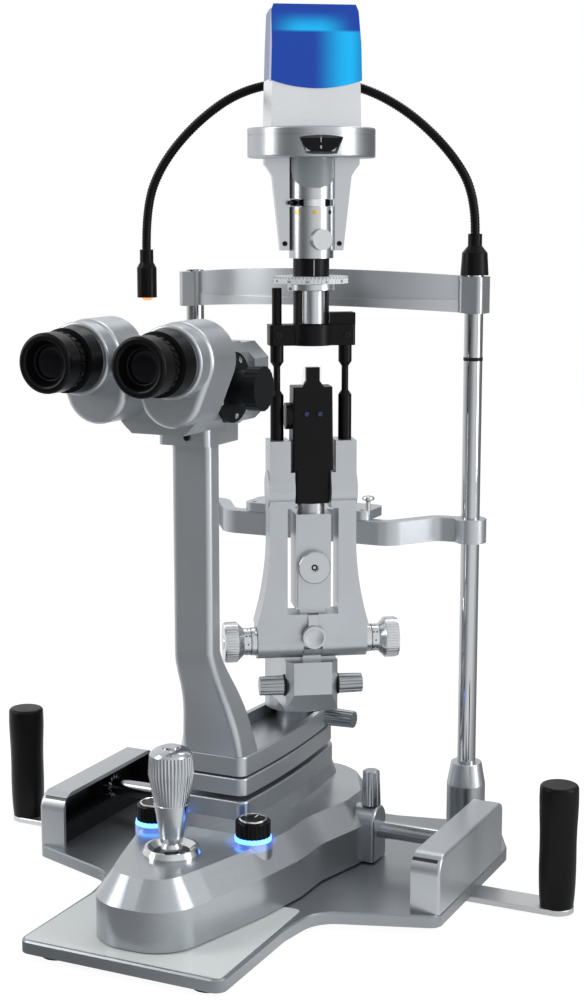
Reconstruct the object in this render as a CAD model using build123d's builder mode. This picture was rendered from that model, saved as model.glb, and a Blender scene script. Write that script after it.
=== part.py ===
from build123d import *
import math
import os

# Slit lamp, tower type, on its own base plate with a chin rest and a fixation lamp.
# X to the examiner's right, Y away from the examiner, Z up from the table, millimetres.
# The origin lies on the table under the middle of the whole instrument.

# Running clearances
shaft_clearance = 0.05
slide_gap = 0.3

# Base plate on its feet
foot_height = 6.0
foot_radius = 14.0
plate_thick = 10.0
plate_front_y = -187.0
plate_rear_y = 207.0
wing_half = 87.5
wing_back_y = -82.5
shoulder_y = -8.0
side_half = 186.0
side_back_y = 158.0
waist_y = 196.5
bolt_spacing_x = 200.0
bolt_spacing_y = 120.0
bolt_centre_y = 90.0
bolt_tap_radius = 2.5
bolt_depth = 7.0
pad_recess = 1.0
pad_thick = 1.5
pad_margin = 3.0
pad_back_y = -43.5

# Rail covers, racks and the cross axle
cover_outer_x = 185.5
cover_width = 24.5
cover_wall = 3.5
cover_front_y = -6.5
cover_back_y = 146.0
cover_height = 46.6
cover_corner = 15.0
gear_module = 1.5
pinion_teeth = 12
pinion_width = 8.0
tooth_backlash = 1.1
rack_front_y = 4.0
rack_back_y = 136.0
axle_y = 86.0
axle_z = 43.5
axle_radius = 7.5
journal_radius = 5.0
shoe_half_y = 10.0

# Hand grips
grip_x = 255.0
grip_y = 78.5
grip_radius = 15.7
grip_waist_radius = 15.0
grip_foot_radius = 13.6
grip_height = 102.0
bar_thick = 4.5
bar_width = 28.0

# Support posts and their fittings
post_x = 135.1
post_y = 191.6
post_radius = 8.05
post_top_z = 523.0
socket_radius = 17.0
socket_neck_radius = 13.5
socket_cone_z = 58.0
socket_top_z = 77.8

# Forehead band
band_z = 475.0
band_height = 31.0
band_bow = 38.0
band_thick = 7.0
band_lip = 5.0
band_lip_height = 6.0
band_arch = 6.0
band_block_x = 22.0
band_block_y = 26.0

# Chin rest
chin_bar_z = 276.5
chin_bar_height = 21.0
chin_bar_thick = 12.0
chin_bar_reach = 45.0
chin_collar_radius = 14.0
chin_nut_radius = 17.0
chin_nut_height = 18.0
tray_half = 60.0
tray_depth = 40.0
tray_thick = 8.0
chin_hollow_radius = 70.0
chin_hollow_depth = 2.5
pin_x = 52.0
pin_radius = 2.2

# Fixation lamp on a stiff gooseneck
holder_radius = 10.8
holder_height = 19.0
neck_radius = 4.1
lamp_head_x = -149.3
lamp_head_y = 128.6
lamp_head_z = 485.0
lamp_head_radius = 8.7
lamp_head_height = 30.0
lamp_sleeve_radius = 5.0
lamp_sleeve_height = 12.0

# Cross slide base, moved by the joystick
base_gap = 1.0
base_wall_z = 49.0
base_top_z = 69.5
base_bevel = 14.0
base_shell = 6.0
base_nose_y = -170.5
base_nose_half = 34.0
base_nose_radius = 38.0
base_hip_half = 64.0
base_hip_y = -68.5
base_waist_half = 73.0
base_waist_y = 16.5
base_rear_half = 60.0
base_rear_y = 174.0
ear_half = 96.4
ear_half_y = 14.0
ear_crown = 20.5
clamp_x = 88.0
clamp_knob_radius = 8.2
clamp_knob_height = 29.0

# Joystick and dimmers
stick_x = -1.0
stick_y = -100.5
stick_pivot_z = 60.0
stick_ring_radius = 23.0
stick_ring_height = 6.0
stick_bore_radius = 15.0
stick_neck_radius = 8.2
stick_top_z = 156.0
stick_grip_radius = 17.7
stick_shoulder_z = 110.0
stick_widest_z = 134.0
stick_cone_radius = 13.7
dimmer_x = 45.0
dimmer_y = -51.5
dimmer_radius = 14.0
dimmer_height = 12.0
glow_ring_height = 3.0
dimmer_pin_radius = 3.0
stick_core_radius = 6.0
stick_collar_z = 79.0
gimbal_pin_radius = 1.5

# Spindle stack: pedestal, lift block and the two arms turn about the eye axis
spindle_y = 126.5
spindle_radius = 12.0
arm_pin_radius = 10.0
hub_radius = 29.0
tongue_front_y = -36.5
tongue_half = 29.0
tongue_mid_half = 33.0
pedestal_top_z = 95.0
pedestal_flare = 5.0
pedestal_grow = 1.5
lift_gap = 4.0
lift_block_height = 14.5
arm_gap = 1.7
arm_height = 15.8
hub_gap = 0.6

# Microscope arm, column and bracket
foot_back_y = -3.0
foot_top_z = 178.0
column_foot_z = 222.0
column_top_z = 386.0
column_half = 17.0
column_front_y = -67.5
column_depth = 19.0
bracket_half = 22.0
bracket_front_y = -78.5
bracket_depth = 53.0
bracket_height = 13.0
tray_wall = 6.0
tray_floor = 5.0

# Microscope head
optic_z = 430.0
belly_radius = 40.0
belly_front_y = -116.5
belly_back_y = -86.0
body_half = 30.0
body_top_z = 463.0
plate_half = 35.0
head_plate_front_y = -26.0
head_back_y = -2.0
drum_y = -56.0
drum_radius = 27.0
drum_face_x = 33.0
drum_knob_radius = 17.0
drum_knob_length = 11.0
drum_knob_x = 47.0
channel_x = 16.0
channel_radius = 9.0
objective_radius = 25.0
objective_length = 10.0
eyepiece_x = 37.7
eyepiece_z = 457.5
prism_depth = 49.0
prism_step = 12.0
prism_radius = 28.0
prism_low_x = 31.0
prism_low_z = 434.5
prism_low_radius = 25.5
eyepiece_tube_radius = 15.5
eyepiece_ring_radius = 24.0
eyepiece_ring_depth = 14.0
eyepiece_neck_radius = 19.5
eyecup_radius = 21.5
eyecup_front_y = -208.5
lens_radius = 12.5

# Illumination tower, standing on its arm to the examiner's right
tower_turn = 34.0
tower_reach = 70.0
tilt_z = 206.5
block_half = 16.0
block_front = 14.5
block_shoulder = 22.0
block_bottom_z = 146.0
block_top_z = 190.0
lock_knob_radius = 8.0
lock_knob_length = 20.0
lock_knob_z = 168.0
lock_knob_y = -1.0
lug_half = 7.7
lug_radius = 11.5
barrel_radius = 14.5
barrel_half = 46.0
sleeve_radius = 8.0
slit_shaft_radius = 6.0
slit_knob_radius = 17.0
slit_neck_radius = 11.3
slit_knob_end_x = 74.0
fork_half = 36.0
fork_depth = 26.0
fork_top_z = 376.0
fork_waist_z = 293.0
fork_lobe_top_z = 350.0
fork_lobe_low_z = 320.0
fork_window_z = 231.0
fork_window_half = 21.2
fork_lobe_half = 15.0
fork_lobe_radius = 15.6
fork_slot_half = 18.7
inner_half = 14.6
inner_depth = 30.0
inner_bottom_z = 236.0
inner_top_z = 315.6
disc_knob_z = 272.0
disc_knob_radius = 13.4
latch_button_z = 213.0
latch_button_radius = 9.5
latch_pivot_z = 229.0
latch_slot = 9.0
latch_slot_depth = 6.0
mirror_post_radius = 11.5
mirror_post_height = 8.0
mirror_pin_radius = 4.0
head_spigot_radius = 9.0
light_bore_radius = 7.0
mirror_base_half = 14.2
mirror_body_half = 17.0
mirror_body_z = 351.5
mirror_body_top_z = 420.0
mirror_depth = 24.0
mirror_finger_half = 5.5
mirror_knob_z = 395.5
mirror_knob_radius = 11.0
mirror_finger_top_z = 436.0
rod_x = 28.2
rod_radius = 5.5
rod_neck_radius = 2.8
rod_tip_radius = 4.0
rod_neck_low_z = 416.5
rod_neck_high_z = 436.0
yoke_z = 453.7
yoke_height = 16.7
yoke_half = 35.3
yoke_depth = 20.0
optic_tube_radius = 14.6
optic_tube_top_z = 498.0
lens_tube_radius = 9.3
lens_tube_offset = 11.5
lens_tube_z = 472.0
head_flange_radius = 19.6
head_flange_height = 5.6
scale_radius = 30.2
scale_height = 5.4
index_radius = 14.7
index_height = 14.6
cylinder_radius = 18.0
cylinder_bore = 11.0
cylinder_top_z = 603.3
filter_slot_z = 565.0
filter_slot_height = 6.0
filter_slot_depth = 4.0
aperture_knob_z = 539.0
aperture_knob_radius = 8.4
aperture_knob_length = 7.5
aperture_knob_turn = 12.0
aperture_pin_radius = 2.0
filter_lever_turn = -60.0
filter_lever_radius = 1.6
filter_lever_reach = 23.0
disc_radius = 51.4
disc_height = 23.5
disc_seam_z = 620.5
window_half = 21.0
window_foot_half = 13.0
window_drop = 16.0
bracket_top_half = 38.5
bracket_knee_half = 32.0
bracket_low_half = 25.5
bracket_knee_z = 589.0
bracket_low_z = 530.0
bracket_thick = 10.0
house_half = 36.0
house_half_depth = 25.0
house_draft = 2.5
house_fold_z = 690.0
house_top_z = 721.6
house_wall = 3.0
cap_shell = 1.2
cap_edge_z = 656.5
cap_edge_drop = 7.0
cap_wrap = 14.0

# Worked out from the sizes above
plate_top_z = foot_height + plate_thick
pad_top_z = plate_top_z - pad_recess + pad_thick
base_floor_z = pad_top_z + base_gap
cover_inner_x = cover_outer_x - cover_width
pinion_radius = gear_module * pinion_teeth / 2
rack_pitch_z = axle_z - pinion_radius
shoe_outer_x = cover_outer_x - cover_wall - slide_gap
shoe_inner_x = shoe_outer_x - 7.0
pinion_outer_x = shoe_inner_x - 0.7
pinion_inner_x = pinion_outer_x - pinion_width
lift_block_z = pedestal_top_z + lift_gap
lift_top_z = lift_block_z + lift_block_height
arm_z = lift_top_z + arm_gap
arm_top_z = arm_z + arm_height
hub_z = arm_top_z + hub_gap
spindle_cap_z = block_top_z + hub_gap
flange_z = column_top_z
head_floor_z = flange_z + bracket_height
head_flange_z = optic_tube_top_z
scale_z = head_flange_z + head_flange_height + slide_gap
index_z = scale_z + scale_height
cylinder_z = index_z + index_height
disc_z = cylinder_top_z
house_z = disc_z + disc_height
holder_z = post_top_z - 16.5
prism_back_y = belly_front_y - slide_gap
prism_front_y = prism_back_y - prism_depth
post_y_front = post_y - band_block_y / 2


# Planes of the tower, which stands turned about the spindle: local x to its right, y to its back
tower_angle = math.radians(tower_turn)
tower_x = tower_reach * math.sin(tower_angle)
tower_y = spindle_y - tower_reach * math.cos(tower_angle)
tower_right = Vector(math.cos(tower_angle), math.sin(tower_angle), 0)
tower_back = Vector(-math.sin(tower_angle), math.cos(tower_angle), 0)
tower_up = Vector(0, 0, 1)


def tower_point(x, y, z):
    return Vector(tower_x, tower_y, 0) + tower_right * x + tower_back * y + tower_up * z


def tower_level(z, x=0.0, y=0.0):
    return Plane(origin=tower_point(x, y, z), x_dir=tower_right, z_dir=tower_up)


def tilt_spot(angle):
    reach = lug_radius + 2.8
    return (reach * math.cos(math.radians(angle)), tilt_z + reach * math.sin(math.radians(angle)))


def tower_face(y, x=0.0, z=0.0):
    return Plane(origin=tower_point(x, y, z), x_dir=tower_right, z_dir=tower_back * -1)


def tower_side(x, y=0.0, z=0.0):
    return Plane(origin=tower_point(x, y, z), x_dir=tower_back, z_dir=tower_right)


def side_plane(x):
    return Plane(origin=(x, 0, 0), x_dir=(0, 1, 0), z_dir=(1, 0, 0))


def front_plane(y):
    return Plane(origin=(0, y, 0), x_dir=(1, 0, 0), z_dir=(0, -1, 0))


def write_piece(builder, label):
    builder.part.label = label
    export_step(builder.part, "parts/" + label + ".step")


os.makedirs("parts", exist_ok=True)


# Base plate: a thick aluminium casting with a front wing and four tapped holes below
def plate_outline():
    FilletPolyline((0, plate_front_y), (wing_half, plate_front_y), (wing_half, wing_back_y),
                   (wing_half + 7.0, wing_back_y + 43.0), (side_half, shoulder_y), (side_half, side_back_y),
                   (post_x + 27.0, plate_rear_y), (post_x - 19.0, plate_rear_y), (post_x / 2, waist_y),
                   (0, waist_y), radius=[9.0, 60.0, 30.0, 10.0, 26.0, 18.0, 30.0, 60.0])


with BuildPart() as base_plate:
    with BuildSketch(Plane.XY.offset(foot_height)):
        with BuildLine():
            plate_outline()
            mirror(about=Plane.YZ)
        make_face()
    extrude(amount=plate_thick)
    chamfer(base_plate.faces().sort_by(Axis.Z)[-1].outer_wire().edges(), length=1.2)
    with BuildSketch(Plane.XY.offset(plate_top_z - pad_recess)) as pad_pocket:
        with BuildLine():
            Polyline((-wing_half + pad_margin, plate_front_y + pad_margin),
                     (wing_half - pad_margin, plate_front_y + pad_margin),
                     (wing_half - pad_margin - 1.5, pad_back_y),
                     (-wing_half + pad_margin + 1.5, pad_back_y), close=True)
        make_face()
        fillet(pad_pocket.vertices(), radius=4.0)
    extrude(amount=pad_recess, mode=Mode.SUBTRACT)
    with BuildSketch(Plane.XY.offset(foot_height)):
        with Locations((0, bolt_centre_y)):
            with GridLocations(bolt_spacing_x, bolt_spacing_y, 2, 2):
                Circle(bolt_tap_radius)
    extrude(amount=bolt_depth, mode=Mode.SUBTRACT)
    with BuildSketch(Plane.XY.offset(plate_top_z)):
        with Locations((-post_x, post_y), (post_x, post_y)):
            Circle(post_radius)
    extrude(amount=-(plate_thick - 2.0), mode=Mode.SUBTRACT)
write_piece(base_plate, "base_plate")

# Slide pad: white plastic sheet let into the wing, on which the nose of the base glides
with BuildPart() as slide_pad:
    with BuildSketch(Plane.XY.offset(plate_top_z - pad_recess)) as pad_sheet:
        with BuildLine():
            Polyline((-wing_half + pad_margin, plate_front_y + pad_margin),
                     (wing_half - pad_margin, plate_front_y + pad_margin),
                     (wing_half - pad_margin - 1.5, pad_back_y),
                     (-wing_half + pad_margin + 1.5, pad_back_y), close=True)
        make_face()
        fillet(pad_sheet.vertices(), radius=4.0)
    extrude(amount=pad_thick)
write_piece(slide_pad, "slide_pad")

# Rubber feet under the plate
foot_places = []
for foot_side in (-1, 1):
    foot_places.append((foot_side * (wing_half - 22.0), plate_front_y + 22.0))
    foot_places.append((foot_side * (side_half - 26.0), shoulder_y + 24.0))
    foot_places.append((foot_side * (side_half - 28.0), side_back_y - 6.0))

with BuildPart() as rubber_feet:
    with BuildSketch(Plane.XY):
        with Locations(*foot_places):
            Circle(foot_radius)
    extrude(amount=foot_height)
    chamfer(rubber_feet.edges().group_by(Axis.Z)[0], length=1.2)
write_piece(rubber_feet, "rubber_feet")


# Rail covers: die-cast housings along both sides, open towards the axle and below
def cover_profile(inset):
    low = plate_top_z
    high = plate_top_z + cover_height - inset
    front = cover_front_y + inset
    back = cover_back_y - inset
    corner = cover_corner - inset
    Polyline((front, high - corner), (front, low), (back, low), (back, high - corner / 2))
    RadiusArc((back, high - corner / 2), (back - corner / 2, high), -corner / 2)
    Line((back - corner / 2, high), (front + corner, high))
    RadiusArc((front + corner, high), (front, high - corner), -corner)


with BuildPart() as rail_covers:
    for side in (-1, 1):
        with BuildPart(mode=Mode.PRIVATE) as cover_shell:
            with BuildSketch(side_plane(side * cover_inner_x)):
                with BuildLine():
                    cover_profile(0.0)
                make_face()
            extrude(amount=side * cover_width)
            outer_face = cover_shell.faces().sort_by(Axis.X)[-1 if side > 0 else 0]
            fillet(outer_face.outer_wire().edges().sort_by(Axis.Z)[1:], radius=2.5)
            with BuildSketch(side_plane(side * cover_inner_x)):
                with BuildLine():
                    cover_profile(cover_wall)
                make_face()
            extrude(amount=side * (cover_width - cover_wall), mode=Mode.SUBTRACT)
        add(cover_shell.part)
write_piece(rail_covers, "rail_covers")

# Racks: toothed bars on the plate inside the covers
tooth_pitch = math.pi * gear_module
tooth_half = tooth_pitch / 4 - tooth_backlash / 4
tooth_slope = math.tan(math.radians(20))
addendum = 0.8 * gear_module
dedendum = 1.25 * gear_module
first_tooth = math.ceil((rack_front_y - axle_y) / tooth_pitch)
last_tooth = math.floor((rack_back_y - axle_y) / tooth_pitch)
rack_teeth = []
for tooth in range(first_tooth, last_tooth):
    rack_teeth.append((axle_y + (tooth + 0.5) * tooth_pitch, rack_pitch_z))


def tooth_shape(root):
    Polygon((-tooth_half - tooth_slope * root, -root), (tooth_half + tooth_slope * root, -root),
            (tooth_half - tooth_slope * addendum, addendum), (-tooth_half + tooth_slope * addendum, addendum),
            align=None)


rack_bed = rack_pitch_z - dedendum - plate_top_z

with BuildPart() as rail_racks:
    for side in (-1, 1):
        with BuildSketch(side_plane(side * pinion_inner_x)):
            with Locations(((rack_front_y + rack_back_y) / 2, plate_top_z + rack_bed / 2)):
                Rectangle(rack_back_y - rack_front_y, rack_bed)
            with Locations(*rack_teeth):
                tooth_shape(dedendum + 0.1)
        extrude(amount=side * pinion_width)
write_piece(rail_racks, "rail_racks")

# Cross axle: polished steel shaft with a toothed pinion and a journal at each end
with BuildPart() as cross_axle:
    with BuildSketch(side_plane(-pinion_inner_x)):
        with Locations((axle_y, axle_z)):
            Circle(axle_radius)
    extrude(amount=2 * pinion_inner_x)
    chamfer(cross_axle.edges().filter_by(GeomType.CIRCLE), length=0.6)
    with BuildSketch(side_plane(-shoe_outer_x)):
        with Locations((axle_y, axle_z)):
            Circle(journal_radius)
    extrude(amount=2 * shoe_outer_x)
    for side in (-1, 1):
        with BuildSketch(side_plane(side * pinion_inner_x)):
            with Locations((axle_y, axle_z)):
                Circle(pinion_radius - dedendum + 0.2)
                for tooth in range(pinion_teeth):
                    turn = 360.0 / pinion_teeth * tooth + 180.0
                    with Locations(Location((0, 0, 0), (0, 0, turn))):
                        with Locations((0, pinion_radius)):
                            tooth_shape(dedendum)
        extrude(amount=side * pinion_width)
write_piece(cross_axle, "cross_axle")

# Guide shoes: plastic bearing blocks that carry the axle ends and run along the covers
with BuildPart() as guide_shoes:
    for side in (-1, 1):
        with BuildSketch(side_plane(side * shoe_inner_x)):
            with Locations((axle_y, (plate_top_z + slide_gap + axle_z + shoe_half_y) / 2)):
                Rectangle(2 * shoe_half_y, axle_z + shoe_half_y - plate_top_z - slide_gap)
            with Locations((axle_y, axle_z)):
                Circle(journal_radius + shaft_clearance, mode=Mode.SUBTRACT)
        extrude(amount=side * (shoe_outer_x - shoe_inner_x))
    chamfer(guide_shoes.edges().filter_by(Axis.X), length=1.5)
write_piece(guide_shoes, "guide_shoes")

# Grip bars: flat steel bars screwed under the plate
bar_root_x = side_half - 34.0
with BuildPart() as grip_bars:
    with BuildSketch(Plane.XY.offset(foot_height - bar_thick)):
        for side in (-1, 1):
            with Locations((side * (bar_root_x + grip_x) / 2, grip_y)):
                SlotCenterToCenter(grip_x - bar_root_x, bar_width)
    extrude(amount=bar_thick)
    chamfer(grip_bars.edges().group_by(Axis.Z)[-1], length=0.6)
write_piece(grip_bars, "grip_bars")

# Hand grips: black mouldings with a slight waist, standing on the bars
grip_lift = 0.6
with BuildPart() as hand_grips:
    for side in (-1, 1):
        with BuildSketch(Plane(origin=(side * grip_x, grip_y, foot_height), x_dir=(1, 0, 0), z_dir=(0, -1, 0))):
            with BuildLine():
                Polyline((0, grip_height), (0, 0), (grip_foot_radius, 0))
                Spline((grip_foot_radius, 0), (grip_waist_radius, grip_height * 0.42),
                       (grip_waist_radius, grip_height * 0.6), (grip_radius, grip_height * 0.78),
                       (grip_radius, grip_height - 3.0))
                RadiusArc((grip_radius, grip_height - 3.0), (grip_radius - 3.0, grip_height), -3.0)
                Line((grip_radius - 3.0, grip_height), (0, grip_height))
            make_face()
        revolve(axis=Axis((side * grip_x, grip_y, 0), (0, 0, 1)))
write_piece(hand_grips, "hand_grips")


def at_posts(z):
    return Plane(origin=(0, post_y, z), x_dir=(1, 0, 0), z_dir=(0, 0, 1))


# Post sockets: turned aluminium sockets bolted to the plate
with BuildPart() as post_sockets:
    for side in (-1, 1):
        with BuildSketch(Plane(origin=(side * post_x, post_y, 0), x_dir=(1, 0, 0), z_dir=(0, -1, 0))):
            with BuildLine():
                Polyline((post_radius, plate_top_z), (socket_radius, plate_top_z), (socket_radius, socket_cone_z),
                         (socket_neck_radius, socket_top_z), (post_radius, socket_top_z), close=True)
            make_face()
        revolve(axis=Axis((side * post_x, post_y, 0), (0, 0, 1)))
    socket_rims = post_sockets.edges().filter_by(GeomType.CIRCLE).filter_by(lambda e: e.radius > post_radius + 1)
    fillet(socket_rims, radius=0.8)
    for side in (-1, 1):
        with BuildSketch(Plane(origin=(side * post_x, post_y, 0), x_dir=(0, 0, -1), z_dir=(-1, 0, 0))):
            with Locations((6.0 - socket_cone_z, 0), (18.0 - socket_cone_z, 0)):
                Circle(2.0)
        extrude(amount=socket_radius + 1.0, mode=Mode.SUBTRACT)
write_piece(post_sockets, "post_sockets")

# Support posts: chromed tubes from the plate to the forehead band
post_foot_z = foot_height + 2.0
with BuildPart() as support_posts:
    for side, top in ((-1, band_z + band_height + 1.5), (1, post_top_z)):
        with BuildSketch(Plane.XY.offset(post_foot_z)):
            with Locations((side * post_x, post_y)):
                Circle(post_radius)
                Circle(post_radius - 1.5, mode=Mode.SUBTRACT)
        extrude(amount=top - post_foot_z)
write_piece(support_posts, "support_posts")

# Forehead band: a bowed casting with clamp blocks on the posts and a ledge along its foot
band_mid_y = post_y - band_bow
with BuildPart() as forehead_band:
    with BuildSketch(Plane.XY.offset(band_z)) as band_plan:
        with Locations((-post_x, post_y), (post_x, post_y)):
            RectangleRounded(band_block_x, band_block_y, 5.0)
        with BuildLine():
            ThreePointArc((-post_x, post_y - 4.0), (0, band_mid_y - band_thick / 2), (post_x, post_y - 4.0))
            Line((post_x, post_y - 4.0), (post_x, post_y + 4.0))
            ThreePointArc((post_x, post_y + 4.0), (0, band_mid_y + band_thick / 2), (-post_x, post_y + 4.0))
            Line((-post_x, post_y + 4.0), (-post_x, post_y - 4.0))
        make_face()
    extrude(amount=band_height + band_arch)
    with BuildSketch(Plane.XY.offset(band_z)):
        with BuildLine():
            ThreePointArc((-post_x, post_y - 4.0), (0, band_mid_y - band_thick / 2 - band_lip),
                          (post_x, post_y - 4.0))
            Line((post_x, post_y - 4.0), (post_x, post_y + 4.0))
            ThreePointArc((post_x, post_y + 4.0), (0, band_mid_y + band_thick / 2), (-post_x, post_y + 4.0))
            Line((-post_x, post_y + 4.0), (-post_x, post_y - 4.0))
        make_face()
    extrude(amount=band_lip_height + band_arch)
    band_end = post_x + band_block_x / 2
    with BuildSketch(front_plane(0)):
        with BuildLine():
            Line((-band_end, band_z), (-post_x, band_z))
            ThreePointArc((-post_x, band_z), (0, band_z + band_arch), (post_x, band_z))
            Polyline((post_x, band_z), (band_end, band_z), (band_end, band_z + band_height),
                     (post_x, band_z + band_height))
            ThreePointArc((post_x, band_z + band_height), (0, band_z + band_height + band_arch),
                          (-post_x, band_z + band_height))
            Polyline((-post_x, band_z + band_height), (-band_end, band_z + band_height), (-band_end, band_z))
        make_face()
    extrude(amount=-(post_y + 2 * band_block_y), mode=Mode.INTERSECT)
    with BuildSketch(Plane.XY.offset(band_z)):
        with Locations((-post_x, post_y), (post_x, post_y)):
            Circle(post_radius)
    extrude(amount=band_height + band_arch, mode=Mode.SUBTRACT)
write_piece(forehead_band, "forehead_band")


# Chin rest: a cranked casting that climbs the posts and carries the tray
def chin_bar_path():
    bar_y = post_y - chin_bar_reach
    FilletPolyline((-post_x, post_y), (-post_x + 30.0, post_y - 3.0), (-post_x + 58.0, bar_y),
                   (post_x - 58.0, bar_y), (post_x - 30.0, post_y - 3.0), (post_x, post_y),
                   radius=[16.0, 16.0, 16.0, 16.0])


chin_top_z = chin_bar_z + chin_bar_height
with BuildPart() as chin_bar:
    with BuildSketch(Plane.XY.offset(chin_bar_z)):
        with BuildLine():
            chin_bar_path()
        trace(line_width=chin_bar_thick)
        with Locations((-post_x, post_y), (post_x, post_y)):
            Circle(chin_collar_radius)
            Circle(post_radius + shaft_clearance, mode=Mode.SUBTRACT)
        with Locations((0, post_y - chin_bar_reach + 8.0)):
            RectangleRounded(56.0, 26.0, 6.0)
    extrude(amount=chin_bar_height)
    chamfer(chin_bar.faces().sort_by(Axis.Z)[-1].outer_wire().edges(), length=0.8)
write_piece(chin_bar, "chin_bar")

# Chin tray: moulded shelf with a shallow hollow for the chin, fixed on the bar
tray_y = post_y - chin_bar_reach + 12.0
with BuildPart() as chin_tray:
    with BuildSketch(Plane.XY.offset(chin_top_z)):
        with Locations((0, tray_y)):
            RectangleRounded(2 * tray_half, tray_depth, 9.0)
    extrude(amount=tray_thick)
    with Locations((0, tray_y + 2.0, chin_top_z + tray_thick + chin_hollow_radius - chin_hollow_depth)):
        Sphere(chin_hollow_radius, mode=Mode.SUBTRACT)
    with BuildSketch(Plane.XY.offset(chin_top_z)):
        with Locations((-pin_x, tray_y - tray_depth / 2 + 7.0), (pin_x, tray_y - tray_depth / 2 + 7.0)):
            Circle(pin_radius)
    extrude(amount=tray_thick, mode=Mode.SUBTRACT)
write_piece(chin_tray, "chin_tray")

# Height ring: knurled nut under the left collar that winds the chin rest up and down
nut_top_z = chin_bar_z - slide_gap
with BuildPart() as chin_height_ring:
    with BuildSketch(Plane.XY.offset(nut_top_z - chin_nut_height)):
        with Locations((-post_x, post_y)):
            Circle(chin_nut_radius)
            with PolarLocations(chin_nut_radius + 0.6, 24):
                Circle(1.6, mode=Mode.SUBTRACT)
            Circle(post_radius + shaft_clearance, mode=Mode.SUBTRACT)
    extrude(amount=chin_nut_height)
write_piece(chin_height_ring, "chin_height_ring")

# Lamp holder: turned socket on top of the right post, which carries the gooseneck
with BuildPart() as lamp_holder:
    with BuildSketch(Plane(origin=(post_x, post_y, 0), x_dir=(1, 0, 0), z_dir=(0, -1, 0))):
        with BuildLine():
            Polyline((0, post_top_z + 1.0), (post_radius + shaft_clearance, post_top_z + 1.0),
                     (post_radius + shaft_clearance, holder_z + 0.8), (holder_radius + 1.2, holder_z + 0.8),
                     (holder_radius, post_top_z + 3.0), (lamp_sleeve_radius + 1.0, post_top_z + 9.0),
                     (lamp_sleeve_radius + 1.0, post_top_z + 19.0), (0, post_top_z + 19.0), close=True)
        make_face()
    revolve(axis=Axis((post_x, post_y, 0), (0, 0, 1)))
write_piece(lamp_holder, "lamp_holder")

# Gooseneck: stiff metal hose bent over the tower from the post to the lamp head
neck_start_z = post_top_z + 19.0
neck_end_z = lamp_head_z + lamp_head_height + lamp_sleeve_height
neck_drop_x = (lamp_head_x - post_x)
neck_drop_y = (lamp_head_y - post_y)


def neck_point(share, z):
    return (post_x + neck_drop_x * share, post_y + neck_drop_y * share, z)


neck_route = [
    neck_point(0.0, neck_start_z),
    neck_point(0.0, 574.0),
    neck_point(0.072, 610.0),
    neck_point(0.205, 646.0),
    neck_point(0.36, 668.0),
    neck_point(0.53, 671.0),
    neck_point(0.70, 664.0),
    neck_point(0.84, 637.0),
    neck_point(0.95, 601.0),
    neck_point(1.0, 564.0),
    neck_point(1.0, neck_end_z),
]


def bend_radii(points):
    radii = []
    for before, corner, after in zip(points, points[1:], points[2:]):
        run_in = Vector(*corner) - Vector(*before)
        run_out = Vector(*after) - Vector(*corner)
        turn = math.radians(run_in.get_angle(run_out))
        radii.append(0.45 * min(run_in.length, run_out.length) / math.tan(turn / 2))
    return radii


with BuildPart() as gooseneck:
    with BuildLine():
        FilletPolyline(*neck_route, radius=bend_radii(neck_route))
    with BuildSketch(Plane(origin=neck_route[0], z_dir=(0, 0, 1))):
        Circle(neck_radius)
    sweep()
write_piece(gooseneck, "gooseneck")

# Lamp head: black housing with a sleeve over the end of the gooseneck
with BuildPart() as lamp_head:
    with BuildSketch(Plane(origin=(lamp_head_x, lamp_head_y, lamp_head_z), x_dir=(1, 0, 0), z_dir=(0, -1, 0))):
        with BuildLine():
            Polyline((0, 4.0), (lamp_sleeve_radius + 0.6, 4.0), (lamp_sleeve_radius + 0.6, 0),
                     (lamp_head_radius, 0), (lamp_head_radius, lamp_head_height - 4.0),
                     (lamp_sleeve_radius + 1.0, lamp_head_height + 1.0),
                     (lamp_sleeve_radius + 1.0, lamp_head_height + lamp_sleeve_height),
                     (0, lamp_head_height + lamp_sleeve_height), close=True)
        make_face()
    revolve(axis=Axis((lamp_head_x, lamp_head_y, 0), (0, 0, 1)))
write_piece(lamp_head, "fixation_lamp_head")

# Fixation lens: small red dome the patient looks at
with BuildPart() as fixation_lens:
    with BuildSketch(Plane(origin=(lamp_head_x, lamp_head_y, lamp_head_z), x_dir=(1, 0, 0), z_dir=(0, -1, 0))):
        with BuildLine():
            Polyline((0, -2.5), (lamp_sleeve_radius - 1.5, -2.5), (lamp_sleeve_radius + 0.6, 0),
                     (lamp_sleeve_radius + 0.6, 4.0), (0, 4.0), close=True)
        make_face()
    revolve(axis=Axis((lamp_head_x, lamp_head_y, 0), (0, 0, 1)))
write_piece(fixation_lens, "fixation_lens")


# Cross slide base: a bevelled casting, hollow below, with a pedestal for the arms and an ear on each side
base_ear_root = ear_half - 10.4
bevel_rise = base_top_z - base_wall_z
bevel_angle = math.degrees(math.atan(base_bevel / bevel_rise))
cavity_inset = 2 * base_shell
cavity_top_z = base_wall_z + base_shell


def base_outline():
    FilletPolyline((0, base_nose_y), (base_nose_half, base_nose_y), (48.0, base_nose_y + 45.0),
                   (base_hip_half, base_hip_y), (base_waist_half, base_waist_y - 36.5),
                   (base_waist_half, base_waist_y), (base_ear_root, axle_y - 17.5),
                   (base_ear_root, axle_y + 18.0), (base_rear_half, base_rear_y - 18.0),
                   (base_rear_half - 26.0, base_rear_y), (0, base_rear_y),
                   radius=[base_nose_radius, 80.0, 90.0, 80.0, 60.0, 50.0, 24.0, 35.0, 45.0])
    mirror(about=Plane.YZ)


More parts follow.
